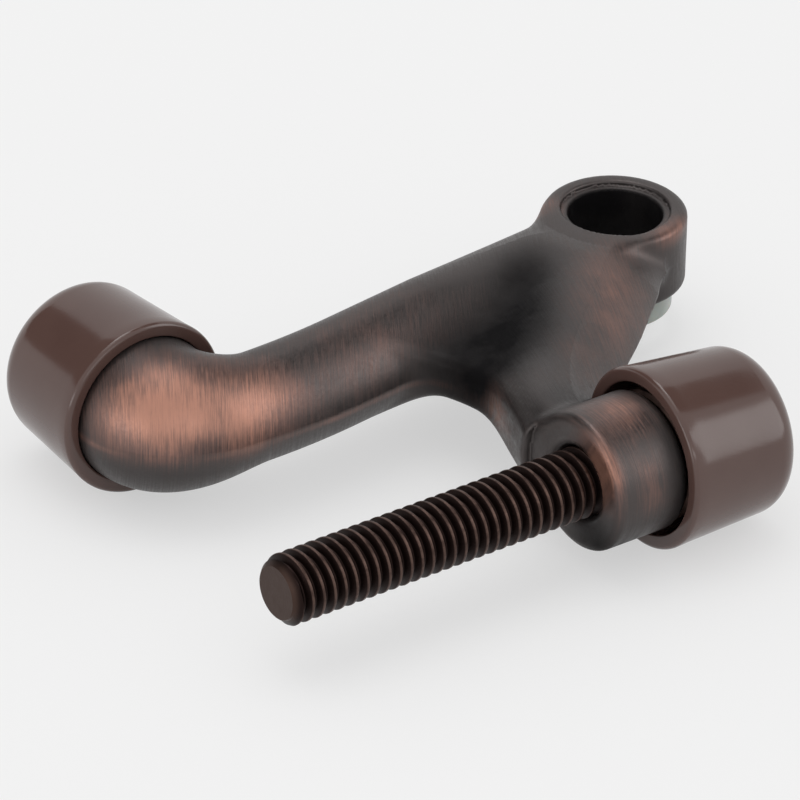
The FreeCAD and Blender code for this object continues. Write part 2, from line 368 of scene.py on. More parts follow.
@dataclass(frozen=True)
class ShortArm:
    """The short arm: a straight leg from the eye, then a bend into the boss, in millimetres."""

    root: tuple[float, float] = (-0.6, -0.8)
    heading_deg: float = 221.0
    leg: float = 18.7
    bend_reach: float = 12.0
    end: tuple[float, float] = (-31.6, -38.4)
    root_half_width: float = 6.0
    half_width: float = 7.0
    end_half_width: float = 3.6
    root_half_height: float = 4.2
    bend_half_height: float = 5.4
    ridge: float = 0.92
    crest: float = 0.27
    taper_power: float = 1.5
    leg_steps: int = 30
    bend_steps: int = 60
    chunk: int = 20000

    def middle_line(self) -> tuple[np.ndarray, np.ndarray, np.ndarray]:
        """Return the arm's middle line.

        Returns:
            The points, and the half width and half height at each of them.
        """
        heading = math.radians(self.heading_deg)
        ahead = np.array([math.cos(heading), math.sin(heading)])
        root = np.array(self.root)
        end = np.array(self.end)
        leg_share = np.linspace(0.0, 1.0, self.leg_steps, endpoint=False)
        leg = root + ahead * (leg_share * self.leg)[:, None]
        corner = root + ahead * self.leg
        poles = [corner, corner + ahead * self.bend_reach, end + np.array([0.0, self.bend_reach]), end]
        s = np.linspace(0.0, 1.0, self.bend_steps)[:, None]
        bend = (
            poles[0] * (1 - s) ** 3
            + 3 * poles[1] * s * (1 - s) ** 2
            + 3 * poles[2] * s**2 * (1 - s)
            + poles[3] * s**3
        )
        rise = self.bend_half_height - self.root_half_height
        stations = [0.0, 0.5, 1.0]
        leg_widths = [self.root_half_width, self.half_width, self.half_width]
        leg_heights = [self.root_half_height + rise * part for part in (0.0, 1 / 3, 1 / 2)]
        leg_width = np.interp(leg_share, stations, leg_widths)
        leg_height = np.interp(leg_share, stations, leg_heights)
        bent = s[:, 0]
        bend_width = self.half_width + (self.end_half_width - self.half_width) * bent**self.taper_power
        bend_height = self.bend_half_height - rise / 2 * (1.0 - bent)
        return (
            np.vstack([leg, bend]),
            np.concatenate([leg_width, bend_width]),
            np.concatenate([leg_height, bend_height]),
        )

    def locate(self, x: np.ndarray, y: np.ndarray) -> dict[str, np.ndarray]:
        """Find the nearest place on the middle line.

        Args:
            x: level places along X.
            y: level places along Y.

        Returns:
            Arrays named along, across, width, height and past. past is how far a point
            lies beyond either end of the line.
        """
        x, y = np.broadcast_arrays(x, y)
        points, widths, heights = self.middle_line()
        start, step = points[:-1], np.diff(points, axis=0)
        length = np.hypot(step[:, 0], step[:, 1])
        ahead = step / length[:, None]
        before = np.concatenate([[0.0], np.cumsum(length)])
        flat_x, flat_y = x.ravel(), y.ravel()
        found = {name: np.empty(flat_x.size) for name in ("along", "across", "width", "height", "past")}
        for first in range(0, flat_x.size, self.chunk):
            part = slice(first, first + self.chunk)
            from_x = flat_x[part, None] - start[None, :, 0]
            from_y = flat_y[part, None] - start[None, :, 1]
            run = from_x * ahead[:, 0] + from_y * ahead[:, 1]
            off = from_x * ahead[:, 1] - from_y * ahead[:, 0]
            over = run - np.clip(run, 0.0, length)
            best = np.argmin(over**2 + off**2, axis=1)
            row = np.arange(best.size)
            share = np.clip(run[row, best] / length[best], 0.0, 1.0)
            found["along"][part] = before[best] + share * length[best]
            found["across"][part] = off[row, best]
            found["width"][part] = widths[best] + (widths[best + 1] - widths[best]) * share
            found["height"][part] = heights[best] + (heights[best + 1] - heights[best]) * share
            at_end = (best == 0) | (best == len(length) - 1)
            found["past"][part] = np.where(at_end, np.abs(over[row, best]), 0.0)
        return {name: values.reshape(x.shape) for name, values in found.items()}

    def distance(self, x: np.ndarray, y: np.ndarray, z: np.ndarray) -> np.ndarray:
        """Return the signed distance from the arm.

        Args:
            x: places along X.
            y: places along Y.
            z: heights.

        Returns:
            The signed distance, negative inside.
        """
        at = self.locate(x, y)
        found = lens_distance(
            at["across"], z, at["width"], at["height"], np.float64(self.ridge), np.float64(self.crest)
        )
        return np.where(at["past"] > 0.0, np.maximum(found, at["past"]), found)


@dataclass(frozen=True)
class Web:
    """The plate in the corner of the arms. Its free edge is an arch, in millimetres."""

    arch: tuple[tuple[float, float], ...] = ((-36.6, -8.9), (-32.8, -16.6), (-35.6, -31.5))
    half_thickness: float = 3.3
    edge_thickness: float = 2.6
    floor_run: float = 10.0
    edge_round: float = 1.5
    margin: float = 1.0
    end_x: float = -4.0

    def arch_circle(self) -> tuple[float, float, float]:
        """Find the circle through the arch's three points.

        Returns:
            The centre's X and Y, and the radius.
        """
        (ax, ay), (bx, by), (cx, cy) = self.arch
        d = 2.0 * (ax * (by - cy) + bx * (cy - ay) + cx * (ay - by))
        a2, b2, c2 = ax * ax + ay * ay, bx * bx + by * by, cx * cx + cy * cy
        ux = (a2 * (by - cy) + b2 * (cy - ay) + c2 * (ay - by)) / d
        uy = (a2 * (cx - bx) + b2 * (ax - cx) + c2 * (bx - ax)) / d
        return ux, uy, math.hypot(ax - ux, ay - uy)

    def distance(
        self, x: np.ndarray, y: np.ndarray, z: np.ndarray, long_side: np.ndarray, short_side: np.ndarray
    ) -> np.ndarray:
        """Return the signed distance from the web.

        Args:
            x: places along X.
            y: places along Y.
            z: heights.
            long_side: the place across the long arm, negative on the web's side.
            short_side: the place across the short arm, positive on the web's side.

        Returns:
            The signed distance, negative inside.
        """
        centre_x, centre_y, radius = self.arch_circle()
        edge = radius - np.hypot(x - centre_x, y - centre_y)
        inward = np.clip(-edge / self.floor_run, 0.0, 1.0)
        plate = np.abs(z) - self.edge_thickness - (self.half_thickness - self.edge_thickness) * inward
        found = smooth_cut(plate, edge, self.edge_round)
        found = np.maximum(found, long_side)
        found = np.maximum(found, -short_side)
        found = np.maximum(found, self.arch[0][0] - self.margin - x)
        found = np.maximum(found, self.arch[-1][1] - self.margin - y)
        return np.maximum(found, x - self.end_x)


@dataclass(frozen=True)
class CastingShape:
    """The whole casting as one signed distance, in millimetres."""

    eye: EyeSizes = EyeSizes()
    boss: BossSizes = BossSizes()
    long_arm: LongArm = LongArm()
    short_arm: ShortArm = ShortArm()
    web: Web = Web()
    arm_blend: float = 2.0
    web_blend: float = 3.0
    eye_blend: float = 2.8
    far_blend: float = 0.9
    boss_blend: float = 1.3
    spot_blend: float = 1.1
    edge_blend: float = 0.4
    blend_run: float = 6.0
    ceiling_start: float = 0.8
    ceiling_rise: float = 0.3
    ceiling_blend: float = 0.9

    def parts(self, x: np.ndarray, y: np.ndarray, z: np.ndarray) -> dict[str, np.ndarray]:
        """Return the distances of the casting's forms before they are joined.

        Args:
            x: places along X.
            y: places along Y.
            z: heights.

        Returns:
            The distances by the form's name.
        """
        out = np.hypot(x, y)
        eye = self.eye
        eye_body = rounded_drum(out - eye.radius, np.abs(z) - eye.half_height, eye.edge_round)
        boss = self.boss
        ring = np.hypot(y - boss.axis_y, z)
        end = np.abs(x - boss.face_x - boss.length / 2) - boss.length / 2
        boss_body = rounded_drum(ring - boss.radius, end, boss.face_round)
        at = self.short_arm.locate(x, y)
        _, _, across_long = self.long_arm.locate(x, y)
        return {
            "eye": eye_body,
            "boss": boss_body,
            "long": self.long_arm.distance(x, y, z),
            "short": self.short_arm.distance(x, y, z),
            "web": self.web.distance(x, y, z, across_long, at["across"]),
        }

    def distance(self, x: np.ndarray, y: np.ndarray, z: np.ndarray) -> np.ndarray:
        """Return the casting's signed distance.

        Args:
            x: places along X.
            y: places along Y.
            z: heights.

        Returns:
            The signed distance, negative inside.
        """
        parts = self.parts(x, y, z)
        out = np.hypot(x, y)
        arms = smooth_union(parts["long"], parts["short"], self.arm_blend)
        arms = smooth_union(arms, parts["web"], self.web_blend)
        ease = smooth_step(ramp(-x, 0.0, self.blend_run))
        body = smooth_union(arms, parts["eye"], self.far_blend + (self.eye_blend - self.far_blend) * ease)
        past_eye = np.maximum(0.0, out - self.eye.radius - self.ceiling_start)
        ceiling = np.abs(z) - self.eye.half_height - past_eye * self.ceiling_rise
        body = smooth_cut(body, ceiling, self.ceiling_blend)
        body = smooth_union(body, parts["boss"], self.boss_blend)
        return self.bored(body, x, y, z)

    def bored(self, body: np.ndarray, x: np.ndarray, y: np.ndarray, z: np.ndarray) -> np.ndarray:
        """Cut the pin bore, the stud's bore and the boss's spot-faced front.

        Args:
            body: the distance before the cuts.
            x: places along X.
            y: places along Y.
            z: heights.

        Returns:
            The signed distance after the cuts.
        """
        eye, boss = self.eye, self.boss
        out = np.hypot(x, y)
        body = smooth_cut(body, eye.bore_radius - out, self.edge_blend)
        recess = np.maximum(out - eye.recess_radius, eye.half_height - eye.recess_depth - z)
        body = smooth_cut(body, -recess, self.edge_blend)
        ring = np.hypot(y - boss.axis_y, z)
        ahead = x - boss.face_x
        spot = np.maximum(ring - boss.spot_face_radius, ahead)
        body = smooth_cut(body, -spot, self.spot_blend)
        bore = np.maximum(ring - boss.stud_bore_radius, np.abs(ahead - boss.length / 2) - boss.length)
        body = smooth_cut(body, -bore, self.edge_blend)
        cone = (ring + ahead - boss.mouth_radius) * math.sqrt(0.5)
        mouth = np.maximum(cone, np.abs(ahead) - boss.mouth_reach)
        return smooth_cut(body, -mouth, self.edge_blend)


# Mesh builders

# Limits of the steps that pull a net onto its surface, the first and last in millimetres
SLOPE_REACH = 0.02
RELAX_SHARE = 0.4
LEAST_STRENGTH = 0.09
LONGEST_PULL = 0.3


CORNERS = tuple((i, j, k) for i in (0, 1) for j in (0, 1) for k in (0, 1))


def net_vertices(values: np.ndarray, cells: np.ndarray) -> np.ndarray:
    """Place a vertex in each cell, in the middle of where its edges are crossed.

    Args:
        values: the distances at the grid's points.
        cells: the lowest corners of the cells that the surface crosses.

    Returns:
        The vertices in steps of the grid.
    """
    total = np.zeros((len(cells), 3))
    hits = np.zeros(len(cells))
    for corner in CORNERS:
        low = cells + corner
        low_value = values[tuple(low.T)]
        for axis in range(3):
            if corner[axis]:
                continue
            high = low.copy()
            high[:, axis] += 1
            high_value = values[tuple(high.T)]
            crossed = (low_value < 0.0) != (high_value < 0.0)
            share = low_value[crossed] / (low_value[crossed] - high_value[crossed])
            total[crossed] += low[crossed]
            total[crossed, axis] += share
            hits[crossed] += 1
    return total / hits[:, None]


def net_quads(inside: np.ndarray, number: np.ndarray) -> np.ndarray:
    """Join the vertices round each grid edge that the surface crosses.

    Args:
        inside: whether each of the grid's points is inside.
        number: the number of each cell's vertex.

    Returns:
        The quads as rows of vertex numbers, wound outward.
    """
    size = number.shape
    quads = []
    for axis in range(3):
        u, v = (axis + 1) % 3, (axis + 2) % 3
        here = [slice(None)] * 3
        ahead = [slice(None)] * 3
        here[axis], ahead[axis] = slice(0, size[axis]), slice(1, size[axis] + 1)
        for other in (u, v):
            here[other] = ahead[other] = slice(1, size[other])
        first, second = inside[tuple(here)], inside[tuple(ahead)]
        places = np.argwhere(first != second)
        outward = first[tuple(places.T)]
        places[:, u] += 1
        places[:, v] += 1
        ring = []
        for du, dv in ((-1, -1), (0, -1), (0, 0), (-1, 0)):
            cell = places.copy()
            cell[:, u] += du
            cell[:, v] += dv
            ring.append(number[tuple(cell.T)])
        quad = np.stack(ring, axis=1)
        quad[~outward] = quad[~outward][:, ::-1]
        quads.append(quad)
    return np.vstack(quads)


def surface_net(
    values: np.ndarray, origin: np.ndarray, step: float
) -> tuple[np.ndarray, np.ndarray]:
    """Turn a grid of signed distances into a closed mesh of quads.

    Args:
        values: the distances at the grid's points.
        origin: the grid's lowest corner.
        step: the grid's spacing.

    Returns:
        The vertices, and the quads as rows of vertex numbers, wound outward.
    """
    inside = values < 0.0
    size = np.array(values.shape) - 1
    count = np.zeros(size, np.uint8)
    for i, j, k in CORNERS:
        count += inside[i : size[0] + i, j : size[1] + j, k : size[2] + k]
    active = (count > 0) & (count < len(CORNERS))
    cells = np.argwhere(active)
    number = np.full(active.shape, -1, np.int64)
    number[active] = np.arange(len(cells))
    return origin + step * net_vertices(values, cells), net_quads(inside, number)


def slope(distance: Callable[..., np.ndarray], points: np.ndarray) -> tuple[np.ndarray, np.ndarray]:
    """Measure a distance and its slope.

    Args:
        distance: the signed distance.
        points: the points to measure at.

    Returns:
        The distances and their slopes.
    """
    gradient = np.empty_like(points)
    for axis in range(3):
        shift = np.zeros(3)
        shift[axis] = SLOPE_REACH
        ahead, behind = points + shift, points - shift
        gradient[:, axis] = (distance(*ahead.T) - distance(*behind.T)) / (2 * SLOPE_REACH)
    return distance(*points.T), gradient


def settle(
    distance: Callable[..., np.ndarray], points: np.ndarray, quads: np.ndarray, rounds: int
) -> tuple[np.ndarray, np.ndarray]:
    """Even out a net's vertices and pull them onto the true surface.

    Args:
        distance: the signed distance.
        points: the net's vertices.
        quads: the net's quads.
        rounds: how many times to repeat.

    Returns:
        The vertices on the surface, and their unit normals.
    """
    edges = np.vstack([quads[:, [0, 1]], quads[:, [1, 2]], quads[:, [2, 3]], quads[:, [3, 0]]])
    start, end = np.vstack([edges, edges[:, ::-1]]).T
    count = len(points)
    degree = np.bincount(start, minlength=count).astype(float)
    for turn in range(rounds):
        if turn < rounds - 1:
            total = [np.bincount(start, weights=points[end, axis], minlength=count) for axis in range(3)]
            points = points + (np.stack(total, axis=1) / degree[:, None] - points) * RELAX_SHARE
        value, gradient = slope(distance, points)
        strength = np.maximum((gradient**2).sum(axis=1), LEAST_STRENGTH)
        pull = np.clip(value, -LONGEST_PULL, LONGEST_PULL) / strength
        points = points - gradient * pull[:, None]
    _, gradient = slope(distance, points)
    return points, gradient / np.maximum(np.linalg.norm(gradient, axis=1), TINY)[:, None]


def mesh_object(name: str, vertices: np.ndarray, faces: list, smooth: bool = True) -> bpy.types.Object:
    """Make a mesh object from millimetre vertices.

    Args:
        name: the object's name.
        vertices: the vertices in millimetres.
        faces: the faces as lists of vertex numbers.
        smooth: whether the faces shade smoothly.

    Returns:
        The new object, linked to the scene.
    """
    mesh = bpy.data.meshes.new(name)
    mesh.from_pydata((np.asarray(vertices, float) * MM).tolist(), [], faces)
    mesh.polygons.foreach_set("use_smooth", [smooth] * len(mesh.polygons))
    mesh.update()
    built = bpy.data.objects.new(name, mesh)
    bpy.context.scene.collection.objects.link(built)
    return built


def arc(centre: tuple[float, float], radius: float, start_deg: float, end_deg: float, steps: int) -> list:
    """Return points on an arc of a profile.

    Args:
        centre: the arc's centre, along the axis and out from it.
        radius: the arc's radius.
        start_deg: the first angle, from the axis direction towards outward.
        end_deg: the last angle.
        steps: how many steps the arc has.

    Returns:
        The points as (along, out) pairs.
    """
    found = []
    for i in range(steps + 1):
        angle = math.radians(start_deg + (end_deg - start_deg) * i / steps)
        found.append((centre[0] + radius * math.cos(angle), centre[1] + radius * math.sin(angle)))
    return found


def lathe(name: str, profile: list, segments: int, sharp_deg: float = 35.0) -> bpy.types.Object:
    """Turn a profile about the X axis into a closed mesh.

    Args:
        name: the object's name.
        profile: (along, out) pairs. A profile that starts and ends on the axis closes
            at two poles, and any other closes on itself as a ring.
        segments: how many faces there are round the axis.
        sharp_deg: edges that bend more than this shade sharp.

    Returns:
        The new object, with its axis on X.
    """
    on_axis = profile[0][1] < TINY and profile[-1][1] < TINY
    rings = profile[1:-1] if on_axis else profile
    angles = np.arange(segments) * 2.0 * math.pi / segments
    vertices = []
    for along, out in rings:
        ring = [np.full(segments, along), out * np.cos(angles), out * np.sin(angles)]
        vertices.extend(np.stack(ring, axis=1))
    faces = []
    last = len(rings) - 1 if on_axis else len(rings)
    for ring in range(last):
        low, high = ring * segments, (ring + 1) % len(rings) * segments
        for k in range(segments):
            n = (k + 1) % segments
            faces.append([low + k, low + n, high + n, high + k])
    if on_axis:
        first_pole, last_pole = len(vertices), len(vertices) + 1
        vertices.append(np.array([profile[0][0], 0.0, 0.0]))
        vertices.append(np.array([profile[-1][0], 0.0, 0.0]))
        high = (len(rings) - 1) * segments
        for k in range(segments):
            n = (k + 1) % segments
            faces.append([first_pole, n, k])
            faces.append([last_pole, high + k, high + n])
    built = mesh_object(name, np.array(vertices), faces)
    face_outward(built.data)
    built.data.set_sharp_from_angle(angle=math.radians(sharp_deg))
    return built


def face_outward(mesh: bpy.types.Mesh) -> None:
    """Turn a closed mesh's faces outward.

    Args:
        mesh: the mesh to turn.
    """
    volume = 0.0
    for polygon in mesh.polygons:
        a = mesh.vertices[polygon.vertices[0]].co
        for i in range(1, len(polygon.vertices) - 1):
            b = mesh.vertices[polygon.vertices[i]].co
            c = mesh.vertices[polygon.vertices[i + 1]].co
            volume += a.dot(b.cross(c))
    if volume < 0.0:
        mesh.flip_normals()


def lay(built: bpy.types.Object, place: Matrix) -> None:
    """Move an object's vertices and leave the object itself at the origin.

    Args:
        built: the object.
        place: where its own axes go, in metres.
    """
    built.data.transform(place)
    built.data.update()


# Materials


class NodeMaker:
    """Adds nodes and links to one node tree with short calls."""

    def __init__(self, tree: bpy.types.NodeTree) -> None:
        """Keep the tree.

        Args:
            tree: the tree to build in.
        """
        self.tree = tree

    def feed(self, node: bpy.types.Node, inputs: dict) -> None:
        """Set or link a node's inputs.

        Args:
            node: the node.
            inputs: values or sockets, by the input's name or number.
        """
        for key, value in inputs.items():
            socket = node.inputs[key]
            if isinstance(value, bpy.types.NodeSocket):
                self.tree.links.new(value, socket)
            else:
                socket.default_value = value

    def add(
        self, kind: str, settings: dict | None = None, inputs: dict | None = None
    ) -> bpy.types.Node:
        """Add a node.

        Args:
            kind: the node's type.
            settings: the node's own properties.
            inputs: values or sockets for its inputs, by name or number.

        Returns:
            The new node.
        """
        node = self.tree.nodes.new(kind)
        for key, value in (settings or {}).items():
            setattr(node, key, value)
        self.feed(node, inputs or {})
        return node

    def maths(
        self, operation: str, a: object, b: object = 0.0, c: float = 0.0, clamp: bool = False
    ) -> bpy.types.NodeSocket:
        """Add a maths node.

        Args:
            operation: what it works out.
            a: its first value or socket.
            b: its second value or socket.
            c: its third value, which only MULTIPLY_ADD reads.
            clamp: whether the result stays from 0 to 1.

        Returns:
            The result's socket.
        """
        settings = {"operation": operation, "use_clamp": clamp}
        return self.add("ShaderNodeMath", settings, {0: a, 1: b, 2: c}).outputs[0]

    def add_share(
        self, base: object, extra: object, share: object, clamp: bool = False
    ) -> bpy.types.NodeSocket:
        """Add a share of one value to another.

        Args:
            base: the value or socket to add to.
            extra: the value or socket that a share is taken of.
            share: how much of it is added.
            clamp: whether the result stays from 0 to 1.

        Returns:
            The result's socket.
        """
        return self.maths("ADD", base, self.maths("MULTIPLY", extra, share), clamp=clamp)

    def spread(
        self, value: object, low: float, high: float, to_low: float = 0.0, to_high: float = 1.0
    ) -> bpy.types.NodeSocket:
        """Map a range smoothly onto another.

        Args:
            value: the socket to map.
            low: where the first range starts.
            high: where it ends.
            to_low: where the second range starts.
            to_high: where it ends.

        Returns:
            The result's socket.
        """
        node = self.add(
            "ShaderNodeMapRange",
            {"interpolation_type": "SMOOTHSTEP"},
            {"Value": value, "From Min": low, "From Max": high, "To Min": to_low, "To Max": to_high},
        )
        return node.outputs["Result"]

    def mix(self, share: object, first: object, second: object) -> bpy.types.NodeSocket:
        """Mix two colours.

        Args:
            share: how much of the second.
            first: a colour or socket.
            second: a colour or socket.

        Returns:
            The result's socket.
        """
        node = self.add("ShaderNodeMix", {"data_type": "RGBA"}, {0: share, 6: first, 7: second})
        return node.outputs[2]

    def noise(
        self, vector: object, scale: float, detail: float, roughness: float = 0.5
    ) -> bpy.types.NodeSocket:
        """Add noise.

        Args:
            vector: where the noise is read.
            scale: its scale.
            detail: its octaves.
            roughness: how strong the fine octaves are.

        Returns:
            The noise's value socket.
        """
        inputs = {"Vector": vector, "Scale": scale, "Detail": detail, "Roughness": roughness}
        return self.add("ShaderNodeTexNoise", None, inputs).outputs["Fac"]

    def stretched(self, vector: object, scale: tuple[float, float, float]) -> bpy.types.NodeSocket:
        """Stretch a vector.

        Args:
            vector: the socket to stretch.
            scale: the factors along its three axes.

        Returns:
            The result's socket.
        """
        node = self.add("ShaderNodeMapping", None, {"Vector": vector, "Scale": scale})
        return node.outputs["Vector"]

    def attribute(self, layer: Layer) -> bpy.types.NodeSocket:
        """Read a number from the mesh.

        Args:
            layer: the layer to read.

        Returns:
            The number's socket.
        """
        return self.add("ShaderNodeAttribute", {"attribute_name": layer.value}).outputs["Fac"]

    def place(self) -> bpy.types.NodeSocket:
        """Read the object coordinates."""
        return self.add("ShaderNodeTexCoord").outputs["Object"]

    def bump(self, height: object, strength: float, depth: float) -> bpy.types.NodeSocket:
        """Add a bump.

        Args:
            height: the socket that says where it stands up.
            strength: how much of it shows.
            depth: its depth in metres.

        Returns:
            The normal's socket.
        """
        inputs = {"Strength": strength, "Distance": depth, "Height": height}
        return self.add("ShaderNodeBump", None, inputs).outputs["Normal"]

    def seen(self) -> bpy.types.NodeSocket:
        """Tell the rays that show the background from those that only light.

        Returns:
            A socket that is 1 for camera, glossy and transmission rays.
        """
        path = self.add("ShaderNodeLightPath").outputs
        seen = self.maths("MAXIMUM", path["Is Camera Ray"], path["Is Glossy Ray"])
        return self.maths("MAXIMUM", seen, path["Is Transmission Ray"])


def new_material(name: str) -> tuple[bpy.types.Material, NodeMaker, bpy.types.Node]:
    """Make a material with one principled shader.

    Args:
        name: the material's name.

    Returns:
        The material, its node maker and the shader.
    """
    material = bpy.data.materials.new(name)
    material.use_nodes = True
    material.node_tree.nodes.clear()
    maker = NodeMaker(material.node_tree)
    shader = maker.add("ShaderNodeBsdfPrincipled")
    maker.add("ShaderNodeOutputMaterial", None, {"Surface": shader.outputs["BSDF"]})
    return material, maker, shader


@dataclass(frozen=True)
class BronzeFinish:
    """Brushed dark bronze, with copper where it is worn, painted copper highlight and painted black
    shade.
    """

    name: str = "oil_rubbed_bronze"
    black: tuple = (0.008, 0.0075, 0.008, 1.0)
    patina: tuple = (0.080, 0.070, 0.068, 1.0)
    brown: tuple = (0.165, 0.105, 0.092, 1.0)
    copper: tuple = (0.46, 0.235, 0.172, 1.0)
    metallic: float = 0.92
    ior: float = 1.5
    black_ior: float = 1.06
    roughness: float = 0.42
    roughness_swing: float = 0.16
    bump: float = 0.10
    bump_depth: float = 0.0004
    streak_scale: tuple = (40.0, 1.4, 1.0)
    hair_scale: tuple = (78.0, 3.0, 1.0)
    mottle_scale: float = 160.0
    speck_scale: float = 2600.0
    streak_in_lines: float = 0.4
    cloud_in_shade: float = 0.4
    speck_in_gloss: float = 0.4
    streak_in_bump: float = 0.6
    speck_in_bump: float = 0.25
    line_range: tuple = (0.36, 0.64, -0.18, 0.18)
    lines_by_copper_and_highlight: tuple = (0.0, 0.6, 0.5, 1.0)
    cloud_range: tuple = (0.35, 0.65, -0.12, 0.12)
    cloud_by_copper_and_highlight: tuple = (0.0, 0.4, 0.4, 1.0)
    brown_range: tuple = (0.0, 0.5)
    copper_and_highlight_range: tuple = (0.35, 1.05)
    rough_range: tuple = (0.5, 0.9, -0.5, 0.5)

    def brushing(self, maker: NodeMaker) -> list[bpy.types.NodeSocket]:
        """Build the lines brushed along both arms.

        Args:
            maker: the material's node maker.

        Returns:
            The sockets of the broad streaks and of the fine hairs.
        """
        grains = [
            maker.add("ShaderNodeUVMap", {"uv_map": layer.value}).outputs["UV"]
            for layer in (Layer.GRAIN_LONG, Layer.GRAIN_SHORT)
        ]
        share = maker.attribute(Layer.SHORT_SHARE)
        found = []
        for scale, detail, roughness in ((self.streak_scale, 4.0, 0.6), (self.hair_scale, 3.0, 0.7)):
            on_long, on_short = (
                maker.noise(maker.stretched(grain, scale), 1.0, detail, roughness) for grain in grains
            )
            inputs = {0: share, 2: on_long, 3: on_short}
            found.append(maker.add("ShaderNodeMix", {"data_type": "FLOAT"}, inputs).outputs[0])
        return found

    def material(self) -> bpy.types.Material:
        """Build the material.

        Returns:
            The material. It reads the casting's own layers.
        """
        material, maker, shader = new_material(self.name)
        streak, hair = self.brushing(maker)
        place = maker.place()
        mottle = maker.noise(place, self.mottle_scale, 4.0, 0.55)
        speck = maker.noise(place, self.speck_scale, 2.0, 0.6)

        # This layer holds copper wear and painted highlight, which lighten the colour towards brown and
        # copper
        copper = maker.attribute(Layer.COPPER_AND_HIGHLIGHT)
        lines = maker.maths("MULTIPLY", streak, self.streak_in_lines)
        lines = maker.add_share(lines, hair, 1.0 - self.streak_in_lines)
        lines = maker.spread(lines, *self.line_range)
        cloud = maker.spread(mottle, *self.cloud_range)
        lighter_tone = maker.add_share(copper, lines, maker.spread(copper, *self.lines_by_copper_and_highlight))
        lighter_tone = maker.add_share(lighter_tone, cloud, maker.spread(copper, *self.cloud_by_copper_and_highlight))
        colour = maker.mix(maker.spread(lighter_tone, *self.brown_range), self.patina, self.brown)
        colour = maker.mix(maker.spread(lighter_tone, *self.copper_and_highlight_range), colour, self.copper)

        # The shade darkens the colour and, so that no sheen is left, the reflection too
        shade = maker.add_share(maker.attribute(Layer.SHADE), cloud, self.cloud_in_shade, clamp=True)
        clear = maker.maths("SUBTRACT", 1.0, shade)
        swing = maker.spread(maker.add_share(hair, speck, self.speck_in_gloss), *self.rough_range)
        height = maker.add_share(hair, streak, self.streak_in_bump)
        height = maker.add_share(height, speck, self.speck_in_bump)
        ior_swing = self.ior - self.black_ior
        maker.feed(shader, {
            "Base Color": maker.mix(shade, colour, self.black),
            "Metallic": maker.maths("MULTIPLY", clear, self.metallic),
            "IOR": maker.maths("MULTIPLY_ADD", clear, ior_swing, self.black_ior),
            "Roughness": maker.maths("MULTIPLY_ADD", swing, self.roughness_swing, self.roughness),
            "Normal": maker.bump(height, self.bump, self.bump_depth),
        })
        return material


@dataclass(frozen=True)
class RubberFinish:
    """Smooth brown rubber with a soft gloss."""

    name: str = "brown_rubber"
    colour: tuple = (0.096, 0.054, 0.045, 1.0)
    dark: tuple = (0.088, 0.048, 0.040, 1.0)
    roughness: float = 0.17
    roughness_swing: float = 0.10
    cloud_scale: float = 140.0
    grain_scale: float = 3000.0
    bump: float = 0.05
    bump_depth: float = 0.0001

    def material(self) -> bpy.types.Material:
        """Build the material.

        Returns:
            The material. It reads object coordinates.
        """
        material, maker, shader = new_material(self.name)
        place = maker.place()
        cloud = maker.noise(place, self.cloud_scale, 3.0)
        grain = maker.noise(place, self.grain_scale, 2.0, 0.6)
        smoothest = self.roughness - self.roughness_swing / 2
        maker.feed(shader, {
            "Base Color": maker.mix(maker.spread(cloud, 0.3, 0.7), self.colour, self.dark),
            "Roughness": maker.maths("MULTIPLY_ADD", cloud, self.roughness_swing, smoothest),
            "Normal": maker.bump(grain, self.bump, self.bump_depth),
        })
        return material


@dataclass(frozen=True)
class ThreadFinish:
    """Dark plated thread, lighter on the crests and at the tip."""

    name: str = "plated_thread"
    dark: tuple = (0.013, 0.0056, 0.0044, 1.0)
    lighter_tone: tuple = (0.105, 0.064, 0.052, 1.0)
    tip: tuple = (0.056, 0.033, 0.026, 1.0)
    tip_range: tuple = (-73.3, -73.9)
    metallic: float = 0.85
    roughness: float = 0.42
    roughness_swing: float = 0.2
    crest_radius: float = StudSizes.radius
    crest_depth: float = 0.12
    blotch_scale: float = 900.0
    fine_scale: float = 4000.0
    bump: float = 0.12
    bump_depth: float = 0.0001

    def material(self) -> bpy.types.Material:
        """Build the material.

        Returns:
            The material. It reads object coordinates.
        """
        material, maker, shader = new_material(self.name)
        place = maker.place()
        shift = {"Vector": place, "Location": (0.0, -STUD_AXIS_Y * MM, 0.0), "Scale": (0.0, 1.0, 1.0)}
        centred = maker.add("ShaderNodeMapping", None, shift).outputs["Vector"]
        out = maker.add("ShaderNodeVectorMath", {"operation": "LENGTH"}, {0: centred}).outputs["Value"]
        crest_start = (self.crest_radius - self.crest_depth) * MM
        blotch = maker.noise(place, self.blotch_scale, 3.0, 0.6)
        crest = maker.spread(out, crest_start, self.crest_radius * MM)
        crest = maker.maths("MULTIPLY", crest, maker.spread(blotch, 0.32, 0.62, 0.45, 1.0))
        colour = maker.mix(crest, self.dark, self.lighter_tone)
        x = maker.add("ShaderNodeSeparateXYZ", None, {0: place}).outputs["X"]
        at_tip = maker.spread(x, self.tip_range[0] * MM, self.tip_range[1] * MM)
        fine = maker.noise(place, self.fine_scale, 2.0)
        smoothest = self.roughness - self.roughness_swing / 2
        maker.feed(shader, {
            "Base Color": maker.mix(at_tip, colour, self.tip),
            "Metallic": self.metallic,
            "Roughness": maker.maths("MULTIPLY_ADD", blotch, self.roughness_swing, smoothest),
            "Normal": maker.bump(fine, self.bump, self.bump_depth),
        })
        return material


